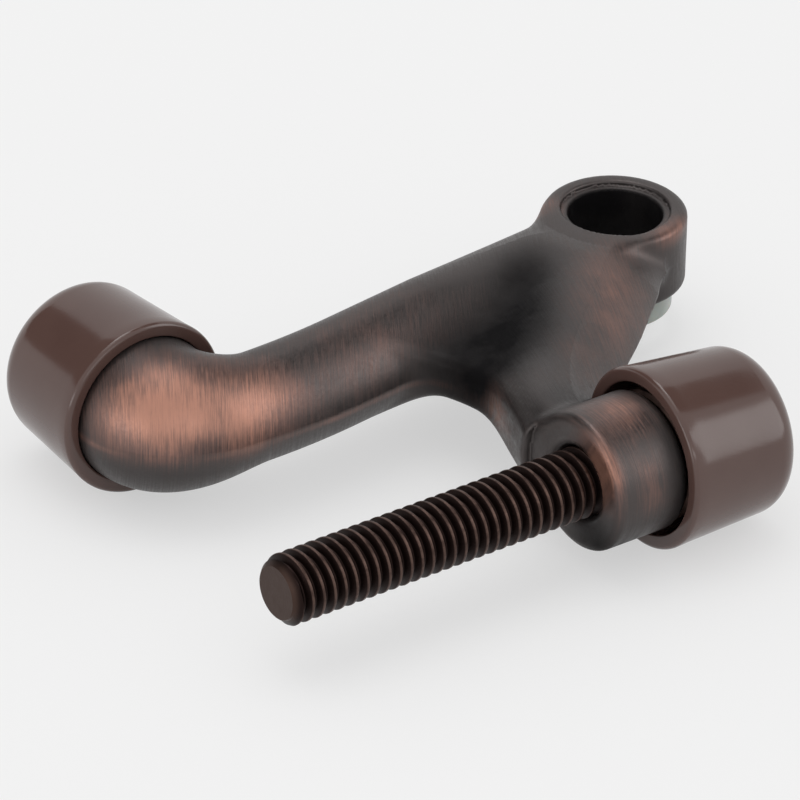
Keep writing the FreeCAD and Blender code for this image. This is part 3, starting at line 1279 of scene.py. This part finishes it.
@dataclass(frozen=True)
class BushingFinish:
    """Pale grey-green plastic that lets a little light through."""

    name: str = "pale_plastic"
    colour: tuple = (0.36, 0.39, 0.36, 1.0)
    dusty: tuple = (0.30, 0.33, 0.30, 1.0)
    subsurface: float = 0.25
    subsurface_reach: float = 0.002
    smoothest: float = 0.25
    roughness_swing: float = 0.2
    cloud_scale: float = 300.0
    bump: float = 0.05
    bump_depth: float = 0.0001

    def material(self) -> bpy.types.Material:
        """Build the material.

        Returns:
            The material. It reads object coordinates.
        """
        material, maker, shader = new_material(self.name)
        cloud = maker.noise(maker.place(), self.cloud_scale, 3.0)
        maker.feed(shader, {
            "Base Color": maker.mix(maker.spread(cloud, 0.35, 0.7), self.colour, self.dusty),
            "Subsurface Weight": self.subsurface,
            "Subsurface Scale": self.subsurface_reach,
            "Roughness": maker.maths("MULTIPLY_ADD", cloud, self.roughness_swing, self.smoothest),
            "Normal": maker.bump(cloud, self.bump, self.bump_depth),
        })
        return material


# Pieces


@dataclass(frozen=True)
class Patch:
    """A soft patch of colour on the casting. Copper patches lay copper wear and painted highlight, and
    shade patches lay painted shade.
    """

    name: str
    centre: tuple[float, float, float]
    spread: tuple[float, float, float]
    amount: float
    turn_deg: float = 0.0

    def weigh(self, points: np.ndarray) -> np.ndarray:
        """Return how strongly the patch acts at points.

        Args:
            points: the places in millimetres.

        Returns:
            The patch's amount at each of them.
        """
        offset = points - np.array(self.centre)
        turn = math.radians(self.turn_deg)
        along = offset[:, 0] * math.cos(turn) + offset[:, 1] * math.sin(turn)
        across = -offset[:, 0] * math.sin(turn) + offset[:, 1] * math.cos(turn)
        scaled = sum((off / reach) ** 2 for off, reach in zip((along, across, offset[:, 2]), self.spread))
        return self.amount * np.exp(-scaled)


# Copper wear and painted highlight on the faces, edges and rims that catch the light
COPPER_AND_HIGHLIGHT_PATCHES = (
    Patch("elbow front", (-66.5, -8.0, 4.2), (8.0, 6.5, 5.2), 1.12),
    Patch("arm front", (-58.5, -11.5, 3.3), (7.0, 5.0, 4.8), 0.82),
    Patch("arm middle", (-42.0, -9.0, 4.0), (14.0, 6.0, 5.0), 0.22, 7.0),
    Patch("short arm facet", (-11.5, -14.0, 3.0), (10.0, 6.0, 4.0), 0.42, 41.0),
    Patch("short arm bend", (-22.0, -22.5, 4.0), (6.0, 5.0, 3.0), 0.22, 41.0),
    Patch("eye outer edge", (-6.5, 5.0, 3.5), (3.0, 2.4, 2.5), 0.50),
    Patch("eye right rim", (3.0, -7.2, 4.0), (4.0, 2.0, 1.4), 0.50),
    Patch("boss right edge", (-34.7, -43.0, 2.4), (1.1, 3.8, 5.2), 0.95),
    Patch("boss top", (-30.2, -40.2, 7.4), (4.0, 4.2, 1.9), 0.60),
    Patch("boss side", (-30.5, -46.0, 1.0), (2.2, 3.0, 5.0), 0.35),
    Patch("left face", (-32.5, -21.5, 0.0), (3.4, 5.0, 3.0), 0.66),
)

# Painted shade in the valley between the arms, at the elbow's crown, round the boss and on the eye's
# flank
SHADE_PATCHES = (
    Patch("valley core", (-30.4, -16.6, 3.0), (6.8, 5.2, 9.0), 1.25, 68.0),
    Patch("valley middle", (-26.3, -15.4, 3.0), (6.4, 4.9, 9.0), 1.15, 51.0),
    Patch("valley line", (-21.2, -11.8, 3.0), (9.2, 4.5, 9.0), 1.05, 51.0),
    Patch("valley root", (-17.0, -7.0, 4.0), (6.0, 3.8, 6.0), 0.80, 40.0),
    Patch("arch corner", (-33.2, -12.6, 1.0), (3.6, 3.6, 4.0), 0.70),
    Patch("elbow crown", (-64.0, -3.0, 8.4), (8.0, 4.0, 1.5), 0.50),
    Patch("saddle groove", (-30.0, -30.8, 4.5), (5.0, 3.4, 4.0), 0.55),
    Patch("boss shoulder", (-29.5, -35.5, 6.8), (4.0, 2.5, 2.5), 0.20),
    Patch("boss face", (-35.2, -41.5, -2.0), (0.8, 4.5, 6.0), 0.75),
    Patch("boss belly", (-33.5, -43.5, -6.0), (5.0, 5.0, 3.6), 0.85),
    Patch("boss collar", (-26.2, -41.0, 4.0), (1.5, 9.0, 8.0), 0.40),
    Patch("eye flank", (1.6, -8.1, -0.6), (3.0, 1.6, 2.4), 0.30),
)


@dataclass(frozen=True)
class ShadeAndWearRules:
    """Where the casting takes painted shade, and copper wear with painted highlight, beside its patches.
    Lengths are in millimetres.
    """

    grain_scale: float = 0.1
    long_lean: tuple[float, float] = (0.6, 0.8)
    short_lean: tuple[float, float] = (0.35, 0.6)
    short_bend_y: float = -31.0
    arm_mix: float = 5.0
    long_start: float = 28.0
    long_reach: float = 6.0
    under_start: float = 0.6
    under_reach: float = 2.2
    under_shade: float = 0.34
    under_copper_shade: float = 0.7
    back_start: float = 1.2
    back_reach: float = 2.4
    back_shade: float = 0.34
    back_copper_shade: float = 0.6
    bore_margin: float = 0.45
    bore_reach: float = 0.4
    bore_shade: float = 0.95
    ridge_z: float = -0.5
    ridge_spread: float = 0.55
    ridge_reach: float = 4.0
    ridge_copper_and_highlight: float = 0.38


@dataclass
class CastingPiece:
    """The one-piece casting."""

    shape: CastingShape = CastingShape()
    finish: BronzeFinish = BronzeFinish()
    shade_and_wear: ShadeAndWearRules = ShadeAndWearRules()
    step: float = 0.33
    quick_step: float = 0.55
    margin_steps: int = 3
    settle_rounds: int = 4

    def build(self) -> bpy.types.Object:
        """Build the casting's mesh with its layers and material.

        Returns:
            The finished object.
        """
        step = self.step
        low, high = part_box("stop_casting")
        low = np.array(low) / MM - self.margin_steps * step
        high = np.array(high) / MM + self.margin_steps * step
        grid = np.ix_(*(np.arange(low[axis], high[axis], step) for axis in range(3)))
        points, quads = surface_net(self.shape.distance(*grid), low, step)
        points, normals = settle(self.shape.distance, points, quads, self.settle_rounds)
        built = mesh_object("dressed_casting", points, quads.tolist())
        built.data.normals_split_custom_set_from_vertices(normals.tolist())
        self.paint(built.data, points)
        built.data.materials.append(self.finish.material())
        LOG.info("casting: %d quads at %.2f mm", len(quads), step)
        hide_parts("stop_casting")
        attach(built, Body.STOP.value)
        return built

    def paint(self, mesh: bpy.types.Mesh, points: np.ndarray) -> None:
        """Write the layers that the bronze material reads.

        Args:
            mesh: the casting's mesh.
            points: its vertices in millimetres.
        """
        shade_and_wear = self.shade_and_wear
        x, y, z = points.T
        parts = self.shape.parts(x, y, z)
        _, _, across_long = self.shape.long_arm.locate(x, y)
        bent = shade_and_wear.short_lean[0] * np.maximum(y - shade_and_wear.short_bend_y, 0.0)
        grains = {
            Layer.GRAIN_LONG: (x - shade_and_wear.long_lean[0] * y, y + shade_and_wear.long_lean[1] * z),
            Layer.GRAIN_SHORT: (x - bent, y + shade_and_wear.short_lean[1] * z),
        }
        corner = np.empty(len(mesh.loops), np.int32)
        mesh.loops.foreach_get("vertex_index", corner)
        for layer, grain in grains.items():
            uv = mesh.uv_layers.new(name=layer.value)
            both = np.stack(grain, axis=1)[corner] * shade_and_wear.grain_scale
            uv.data.foreach_set("uv", both.astype(np.float32).ravel())
        near_short = np.minimum(parts["short"], parts["boss"])
        share = np.clip(0.5 + (parts["long"] - near_short) / shade_and_wear.arm_mix, 0.0, 1.0)
        # Copper wear and painted highlight from the patches
        copper = np.max([patch.weigh(points) for patch in COPPER_AND_HIGHLIGHT_PATCHES], axis=0)
        # Painted shade from the patches, the underside, the back of the long arm and the bore
        lit = np.ones(len(points))
        for patch in SHADE_PATCHES:
            lit = lit * (1.0 - np.minimum(patch.weigh(points), 1.0))
        under = ramp(-z, shade_and_wear.under_start, shade_and_wear.under_reach)
        on_long = (1.0 - share) * ramp(-x, shade_and_wear.long_start, shade_and_wear.long_reach)
        back = ramp(across_long, shade_and_wear.back_start, shade_and_wear.back_reach) * on_long
        bore_edge = self.shape.eye.bore_radius + shade_and_wear.bore_margin
        in_bore = ramp(-np.hypot(x, y), -bore_edge, shade_and_wear.bore_reach)
        darkened = (shade_and_wear.under_shade * under, shade_and_wear.back_shade * back, shade_and_wear.bore_shade * in_bore)
        shade = np.max([1.0 - lit, *darkened], axis=0)
        # A thin line of copper wear and painted highlight along the long arm's lower ridge
        ridge = np.exp(-(((z - shade_and_wear.ridge_z) / shade_and_wear.ridge_spread) ** 2))
        ridge = ridge * on_long * ramp(-across_long, 0.0, shade_and_wear.ridge_reach)
        # Painted shade on the underside and the back also takes copper away
        copper_unshaded = (1.0 - shade_and_wear.under_copper_shade * under) * (1.0 - shade_and_wear.back_copper_shade * back)
        copper = np.maximum(copper * copper_unshaded, shade_and_wear.ridge_copper_and_highlight * ridge)
        for layer, numbers in (
            (Layer.SHORT_SHARE, share),
            (Layer.COPPER_AND_HIGHLIGHT, copper),
            (Layer.SHADE, shade),
        ):
            written = mesh.attributes.new(layer.value, "FLOAT", "POINT")
            written.data.foreach_set("value", numbers.astype(np.float32))


@dataclass
class CapPiece:
    """A rubber cap over the end of the arm or over the stud's head."""

    name: str
    node: str
    body: Body
    mouth: tuple[float, float, float]
    turn: Matrix
    sizes: CapSizes = CapSizes()
    segments: int = 160

    def profile(self) -> list:
        """Return the cap's profile.

        Returns:
            (along, out) pairs from the axis on the outside to the axis in the bore.
        """
        s = self.sizes
        end_start = s.length - s.end_round
        corner_out = s.drafted(s.mouth_radius, end_start) - s.end_round
        points = [(s.length, 0.0), (s.length, corner_out * 0.5)]
        points += arc((end_start, corner_out), s.end_round, 0.0, 90.0 - s.draft_deg, 14)
        depths = [end_start * k / 6.0 for k in range(5, 0, -1)]
        points += [(depth, s.drafted(s.mouth_radius, depth)) for depth in depths]
        points += arc((s.rim_round, s.mouth_radius - s.rim_round), s.rim_round, 90.0, 180.0, 6)
        lip = (s.inner_round, s.bore_mouth_radius + s.inner_round)
        points += arc(lip, s.inner_round, 180.0, 270.0, 4)
        points += [(s.bore_depth, s.drafted(s.bore_mouth_radius, s.bore_depth)), (s.bore_depth, 0.0)]
        return points

    def build(self, material: bpy.types.Material) -> bpy.types.Object:
        """Build the cap.

        Args:
            material: the rubber.

        Returns:
            The finished object.
        """
        built = lathe(self.name, self.profile(), self.segments)
        lay(built, Matrix.Translation(Vector(self.mouth) * MM) @ self.turn)
        built.data.materials.append(material)
        LOG.info("%s: %d faces", self.name, len(built.data.polygons))
        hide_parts(self.node)
        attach(built, self.body.value)
        return built


@dataclass
class BushingPiece:
    """The bushing under the eye."""

    sizes: BushingSizes = BushingSizes()
    finish: BushingFinish = BushingFinish()
    eye: EyeSizes = EyeSizes()
    segments: int = 120

    def build(self) -> bpy.types.Object:
        """Build the bushing.

        Returns:
            The finished object.
        """
        s = self.sizes
        edge = s.edge_round
        flange_end = s.stand_out - s.eye_gap
        spigot_end = s.stand_out + s.spigot_length
        profile = arc((edge, s.radius - edge), edge, 180.0, 90.0, 5)
        profile += [(flange_end, s.radius), (flange_end, s.spigot_radius)]
        profile += [(spigot_end, s.spigot_radius), (spigot_end, s.bore_radius)]
        profile += arc((s.bore_round, s.bore_radius + s.bore_round), s.bore_round, 270.0, 180.0, 4)
        built = lathe("dressed_bushing", profile, self.segments)
        base = -self.eye.half_height - s.stand_out
        upright = Matrix.Rotation(math.radians(-90.0), 4, "Y")
        lay(built, Matrix.Translation((0.0, 0.0, base * MM)) @ upright)
        built.data.materials.append(self.finish.material())
        LOG.info("bushing: %d faces", len(built.data.polygons))
        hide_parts("pin_bushing")
        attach(built, Body.STOP.value)
        return built


@dataclass
class StudPiece:
    """The stud: its thread is a Geometry Nodes rule, and its head is turned."""

    sizes: StudSizes = StudSizes()
    finish: ThreadFinish = ThreadFinish()
    around: int = 72
    rows_per_turn: int = 10
    sharp_deg: float = 28.0

    def thread_tree(self, material: bpy.types.Material) -> bpy.types.NodeTree:
        """Build the node tree that winds a sheet of rows into a thread.

        Each row of the sheet follows the helix. A row's place within its turn sets its
        radius, and both ends are cut square and closed with a disc.

        Args:
            material: the stud's metal.

        Returns:
            The tree, with its sizes as named inputs.
        """
        tree = bpy.data.node_groups.new("wound_thread", "GeometryNodeTree")
        tree.interface.new_socket("Geometry", in_out="OUTPUT", socket_type="NodeSocketGeometry")
        sizes = ("Crest Radius", "Root Radius", "Root Share", "Crest Share", "Pitch", "Start", "End",
                 "End Radius", "Axis Y", "Weld")
        for name in sizes:
            tree.interface.new_socket(name, in_out="INPUT", socket_type="NodeSocketFloat")
        for name in ("Rows", "Rows Per Turn", "Around"):
            tree.interface.new_socket(name, in_out="INPUT", socket_type="NodeSocketInt")
        maker = NodeMaker(tree)
        given = tree.nodes.new("NodeGroupInput").outputs
        columns = maker.maths("ADD", given["Around"], 1.0)
        counts = {"Vertices X": given["Rows"], "Vertices Y": columns}
        grid = maker.add("GeometryNodeMeshGrid", None, {"Size X": 1.0, "Size Y": 1.0, **counts})
        place = maker.add("GeometryNodeInputPosition").outputs[0]
        flat = maker.add("ShaderNodeSeparateXYZ", None, {0: place}).outputs
        share_along = maker.maths("ADD", flat["X"], 0.5)
        share_around = maker.maths("ADD", flat["Y"], 0.5)
        last_row = maker.maths("SUBTRACT", given["Rows"], 1.0)
        row = maker.maths("ROUND", maker.maths("MULTIPLY", share_along, last_row))
        column = maker.maths("ROUND", maker.maths("MULTIPLY", share_around, given["Around"]))
        turn = maker.maths("DIVIDE", column, given["Around"])
        within = maker.maths("DIVIDE", row, given["Rows Per Turn"])
        wound = maker.maths("SUBTRACT", maker.maths("ADD", within, turn), 1.0)
        along = maker.maths("ADD", given["Start"], maker.maths("MULTIPLY", wound, given["Pitch"]))
        # The nudge keeps a row that starts a turn from rounding down into the turn before
        phase = maker.maths("FRACT", maker.maths("ADD", within, 0.0001))
        off_root = maker.maths("ABSOLUTE", maker.maths("SUBTRACT", phase, 0.5))
        form = {"Value": maker.maths("MULTIPLY", off_root, 2.0)}
        form.update({"From Min": given["Root Share"], "From Max": given["Crest Share"]})
        flank = maker.add("ShaderNodeMapRange", {"interpolation_type": "LINEAR"}, form).outputs["Result"]
        depth = maker.maths("SUBTRACT", given["Crest Radius"], given["Root Radius"])
        radius = maker.maths("ADD", given["Root Radius"], maker.maths("MULTIPLY", flank, depth))
        along = maker.maths("MAXIMUM", maker.maths("MINIMUM", along, given["End"]), given["Start"])
        from_start = maker.maths("SUBTRACT", along, given["Start"])
        from_end = maker.maths("SUBTRACT", given["End"], along)
        nearest = maker.maths("MINIMUM", from_start, from_end)
        radius = maker.maths("MINIMUM", radius, maker.maths("ADD", given["End Radius"], nearest))
        angle = maker.maths("MULTIPLY", turn, 2.0 * math.pi)
        out_y = maker.maths("MULTIPLY", radius, maker.maths("COSINE", angle))
        out_y = maker.maths("ADD", out_y, given["Axis Y"])
        out_z = maker.maths("MULTIPLY", radius, maker.maths("SINE", angle))
        moved = maker.add("ShaderNodeCombineXYZ", None, {"X": along, "Y": out_y, "Z": out_z}).outputs[0]
        bend = {"Geometry": grid.outputs["Mesh"], "Position": moved}
        pieces = [maker.add("GeometryNodeSetPosition", None, bend).outputs[0]]
        for end, quarter_turn in (("Start", -0.5 * math.pi), ("End", 0.5 * math.pi)):
            rim = {"Vertices": given["Around"], "Radius": given["End Radius"]}
            disc = maker.add("GeometryNodeMeshCircle", {"fill_type": "TRIANGLE_FAN"}, rim).outputs["Mesh"]
            centre = {"X": given[end], "Y": given["Axis Y"]}
            spot = maker.add("ShaderNodeCombineXYZ", None, centre).outputs[0]
            lift = {"Geometry": disc, "Translation": spot, "Rotation": (0.0, quarter_turn, 0.0)}
            pieces.append(maker.add("GeometryNodeTransform", None, lift).outputs[0])
        joined = maker.add("GeometryNodeJoinGeometry")
        for piece in pieces:
            tree.links.new(piece, joined.inputs[0])
        weld = {"Geometry": joined.outputs[0], "Distance": given["Weld"]}
        welded = maker.add("GeometryNodeMergeByDistance", None, weld)
        real = maker.add("GeometryNodeRealizeInstances", None, {"Geometry": welded.outputs[0]})
        coat = {"Geometry": real.outputs[0], "Material": material}
        coated = maker.add("GeometryNodeSetMaterial", None, coat)
        output = tree.nodes.new("NodeGroupOutput")
        tree.links.new(coated.outputs[0], output.inputs[0])
        return tree

    def wind(self, material: bpy.types.Material) -> bpy.types.Mesh:
        """Run the thread's tree and keep its result.

        Args:
            material: the stud's metal.

        Returns:
            The thread's mesh.
        """
        s = self.sizes
        turns = (s.thread_end_x - s.tip_x) / s.pitch
        values = {
            "Crest Radius": s.radius * MM,
            "Root Radius": s.root_radius * MM,
            "Root Share": s.root_share,
            "Crest Share": s.crest_share,
            "Pitch": s.pitch * MM,
            "Start": s.tip_x * MM,
            "End": s.thread_end_x * MM,
            "End Radius": s.tip_radius * MM,
            "Axis Y": STUD_AXIS_Y * MM,
            "Weld": s.weld * MM,
            "Rows": (math.ceil(turns) + 2) * self.rows_per_turn + 1,
            "Rows Per Turn": self.rows_per_turn,
            "Around": self.around,
        }
        tree = self.thread_tree(material)
        holder = bpy.data.objects.new("thread_holder", bpy.data.meshes.new("thread_holder"))
        bpy.context.scene.collection.objects.link(holder)
        modifier = holder.modifiers.new("thread", "NODES")
        modifier.node_group = tree
        for item in tree.interface.items_tree:
            if item.item_type == "SOCKET" and item.in_out == "INPUT":
                modifier[item.identifier] = values[item.name]
        depsgraph = bpy.context.evaluated_depsgraph_get()
        wound = bpy.data.meshes.new_from_object(holder.evaluated_get(depsgraph))
        bpy.data.objects.remove(holder)
        return wound

    def build(self) -> bpy.types.Object:
        """Build the stud as one mesh.

        Returns:
            The finished object.
        """
        s = self.sizes
        material = self.finish.material()
        wound = self.wind(material)
        thread = bpy.data.objects.new("dressed_stud", wound)
        bpy.context.scene.collection.objects.link(thread)
        wound.polygons.foreach_set("use_smooth", [True] * len(wound.polygons))
        face_outward(wound)
        wound.set_sharp_from_angle(angle=math.radians(self.sharp_deg))
        far_radius = s.head_radius - s.head_taper
        profile = [
            (s.head_start_x, 0.0),
            (s.head_start_x, s.head_radius - s.head_edge),
            (s.head_start_x + s.head_edge, s.head_radius),
            (s.head_end_x - s.head_edge, far_radius),
            (s.head_end_x, far_radius - s.head_edge),
            (s.head_end_x, 0.0),
        ]
        head = lathe("stud_head", profile, self.around)
        lay(head, Matrix.Translation((0.0, STUD_AXIS_Y * MM, 0.0)))
        head.data.materials.append(material)
        LOG.info("stud: %d thread faces", len(wound.polygons))
        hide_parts("bumper_stud")
        for piece in (thread, head):
            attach(piece, Body.STUD.value)
        return thread


# Studio


@dataclass(frozen=True)
class CameraSettings:
    """The photo's viewpoint, in metres."""

    place: tuple[float, float, float] = (-0.51245, -0.64802, 0.47106)
    right: tuple[float, float, float] = (0.80839, -0.58838, 0.01909)
    up: tuple[float, float, float] = (0.28810, 0.42368, 0.85879)
    lens_mm: float = 381.8
    sensor_mm: float = 36.0
    clip: tuple[float, float] = (0.05, 10.0)


@dataclass(frozen=True)
class LampSettings:
    """One soft area lamp."""

    name: str
    place: tuple[float, float, float]
    target: tuple[float, float, float]
    size: tuple[float, float]
    radiance: float
    lights_matt: bool = True


LAMPS = (
    LampSettings("overhead_softbox", (-0.10, 0.15, 1.10), (-0.03, -0.02, 0.0), (0.8, 0.8), 0.9),
    LampSettings("overhead_sheen", (0.10, 0.30, 0.95), (-0.03, -0.02, 0.0), (0.60, 0.45), 2.2, False),
    LampSettings("left_strip", (-0.95, -0.10, 0.12), (-0.03, -0.02, 0.0), (0.6, 0.24), 2.2, False),
    LampSettings("front_strip", (-0.30, -1.00, 0.42), (-0.03, -0.02, 0.0), (0.9, 0.14), 2.0, False),
    LampSettings("right_softbox", (0.62, -0.57, 0.33), (-0.02, -0.04, 0.0), (0.44, 0.60), 2.1, False),
)


@dataclass(frozen=True)
class FlagSettings:
    """A dark studio flag that only shows in reflections."""

    name: str
    place: tuple[float, float, float]
    size: tuple[float, float]


FLAGS = (
    FlagSettings("left_flag", (-0.36, 0.56, 0.46), (0.62, 0.66)),
    FlagSettings("overhead_flag", (0.37, 0.02, 0.74), (0.52, 0.50)),
)


def sheet_corners(width: float, depth: float, height: float = 0.0) -> np.ndarray:
    """Return the corners of a level rectangle round the Z axis.

    Args:
        width: its size along X, in metres.
        depth: its size along Y.
        height: its height.

    Returns:
        The four corners in millimetres.
    """
    half = np.array([width / 2, depth / 2])
    signs = ((-1, -1), (1, -1), (1, 1), (-1, 1))
    return np.array([(*(half * sign), height) for sign in signs]) / MM


@dataclass
class Studio:
    """The floor, the light and the camera."""

    camera: CameraSettings = CameraSettings()
    white: tuple = (1.0, 1.0, 1.0, 1.0)
    pale: tuple = (0.888, 0.888, 0.888, 1.0)
    floor_tones: tuple = ((0.90, 0.90, 0.90, 1.0), (0.905, 0.905, 0.905, 1.0))
    flag_tones: tuple[float, float] = (0.008, 0.012)
    ambient: float = 0.87
    floor_glow: float = 0.6
    floor_z: float = -0.01025
    floor_size: float = 3.0

    def build(self) -> None:
        """Set up the floor, the world, the lamps and the camera."""
        self.build_world()
        self.build_floor()
        for lamp in LAMPS:
            self.build_lamp(lamp)
        for flag in FLAGS:
            self.build_flag(flag)
        self.build_camera()
        bpy.context.scene.view_settings.view_transform = "Standard"

    def build_world(self) -> None:
        """Make a world that shows pale to the camera and to glossy and clear surfaces."""
        world = bpy.data.worlds.new("studio")
        world.use_nodes = True
        world.node_tree.nodes.clear()
        maker = NodeMaker(world.node_tree)
        lit = maker.add("ShaderNodeBackground", None, {"Color": self.white, "Strength": self.ambient})
        shown = maker.add("ShaderNodeBackground", None, {"Color": self.pale, "Strength": 1.0})
        both = {0: maker.seen(), 1: lit.outputs[0], 2: shown.outputs[0]}
        mixed = maker.add("ShaderNodeMixShader", None, both)
        maker.add("ShaderNodeOutputWorld", None, {"Surface": mixed.outputs[0]})
        bpy.context.scene.world = world

    def build_floor(self) -> None:
        """Lay the pale floor under the caps."""
        corners = sheet_corners(self.floor_size, self.floor_size, self.floor_z)
        floor = mesh_object("floor", corners, [[0, 1, 2, 3]], smooth=False)
        material, maker, shader = new_material("pale_floor")
        cloud = maker.spread(maker.noise(maker.place(), 12.0, 2.0), 0.3, 0.7)
        maker.feed(shader, {
            "Base Color": maker.mix(cloud, *self.floor_tones),
            "Roughness": 1.0,
            "Specular IOR Level": 0.0,
        })
        glow = maker.add("ShaderNodeEmission", None, {"Color": self.pale, "Strength": 1.0})
        share = maker.maths("MULTIPLY", maker.seen(), self.floor_glow)
        both = {0: share, 1: shader.outputs["BSDF"], 2: glow.outputs[0]}
        mixed = maker.add("ShaderNodeMixShader", None, both)
        output = next(node for node in material.node_tree.nodes if node.type == "OUTPUT_MATERIAL")
        maker.feed(output, {"Surface": mixed.outputs[0]})
        floor.data.materials.append(material)

    def build_lamp(self, settings: LampSettings) -> None:
        """Add one lamp.

        Args:
            settings: the lamp's place, size and power.
        """
        light = bpy.data.lights.new(settings.name, "AREA")
        light.shape = "RECTANGLE"
        light.size, light.size_y = settings.size
        light.energy = settings.radiance * math.pi * settings.size[0] * settings.size[1]
        lamp = bpy.data.objects.new(settings.name, light)
        lamp.visible_diffuse = settings.lights_matt
        bpy.context.scene.collection.objects.link(lamp)
        lamp.location = settings.place
        aim = Vector(settings.target) - Vector(settings.place)
        lamp.rotation_euler = aim.to_track_quat("-Z", "Y").to_euler()

    def build_flag(self, settings: FlagSettings) -> None:
        """Add one dark flag.

        Args:
            settings: the flag's place and size. It faces the part.
        """
        corners = sheet_corners(*settings.size)
        flag = mesh_object(settings.name, corners, [[0, 1, 2, 3]], smooth=False)
        facing = (-Vector(settings.place)).to_track_quat("Z", "Y").to_matrix().to_4x4()
        lay(flag, Matrix.Translation(settings.place) @ facing)
        material, maker, shader = new_material(settings.name + "_cloth")
        weave = maker.spread(maker.noise(maker.place(), 40.0, 2.0), 0.3, 0.7, *self.flag_tones)
        maker.feed(shader, {"Base Color": weave, "Specular IOR Level": 0.0})
        flag.data.materials.append(material)
        flag.visible_camera = False
        flag.visible_diffuse = False
        flag.visible_shadow = False

    def build_camera(self) -> None:
        """Add the camera at the photo's viewpoint."""
        s = self.camera
        right = Vector(s.right).normalized()
        up = Vector(s.up)
        up = (up - right * up.dot(right)).normalized()
        back = right.cross(up)
        data = bpy.data.cameras.new("photo_camera")
        data.lens = s.lens_mm
        data.sensor_width = s.sensor_mm
        data.clip_start, data.clip_end = s.clip
        camera = bpy.data.objects.new("photo_camera", data)
        bpy.context.scene.collection.objects.link(camera)
        turn = Matrix((right, up, back)).transposed().to_4x4()
        camera.matrix_world = Matrix.Translation(s.place) @ turn
        bpy.context.scene.camera = camera


# The middles of both caps' mouths in millimetres, and how the stud's cap is cocked
FIXED_MOUTH = (FIXED_CAP_X, -0.3, 0.0)
STUD_MOUTH = (-26.0, STUD_AXIS_Y, 0.0)
COCK_SIDEWAYS_DEG = -2.0
COCK_DOWN_DEG = 1.5


def main() -> None:
    """Dress the frame and set up the picture."""
    logging.basicConfig(level=logging.INFO, format="%(name)s %(message)s")
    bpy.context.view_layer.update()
    CastingPiece().build()
    rubber = RubberFinish().material()
    to_y = Matrix.Rotation(math.radians(90.0), 4, "Z")
    sideways = Matrix.Rotation(math.radians(COCK_SIDEWAYS_DEG), 4, "Z")
    cock = sideways @ Matrix.Rotation(math.radians(COCK_DOWN_DEG), 4, "Y")
    CapPiece("dressed_fixed_cap", "fixed_bumper_cap", Body.STOP, FIXED_MOUTH, to_y).build(rubber)
    CapPiece("dressed_stud_cap", "adjustable_bumper_cap", Body.CAP, STUD_MOUTH, cock).build(rubber)
    BushingPiece().build()
    StudPiece().build()
    Studio().build()


if __name__ == "__main__":
    main()
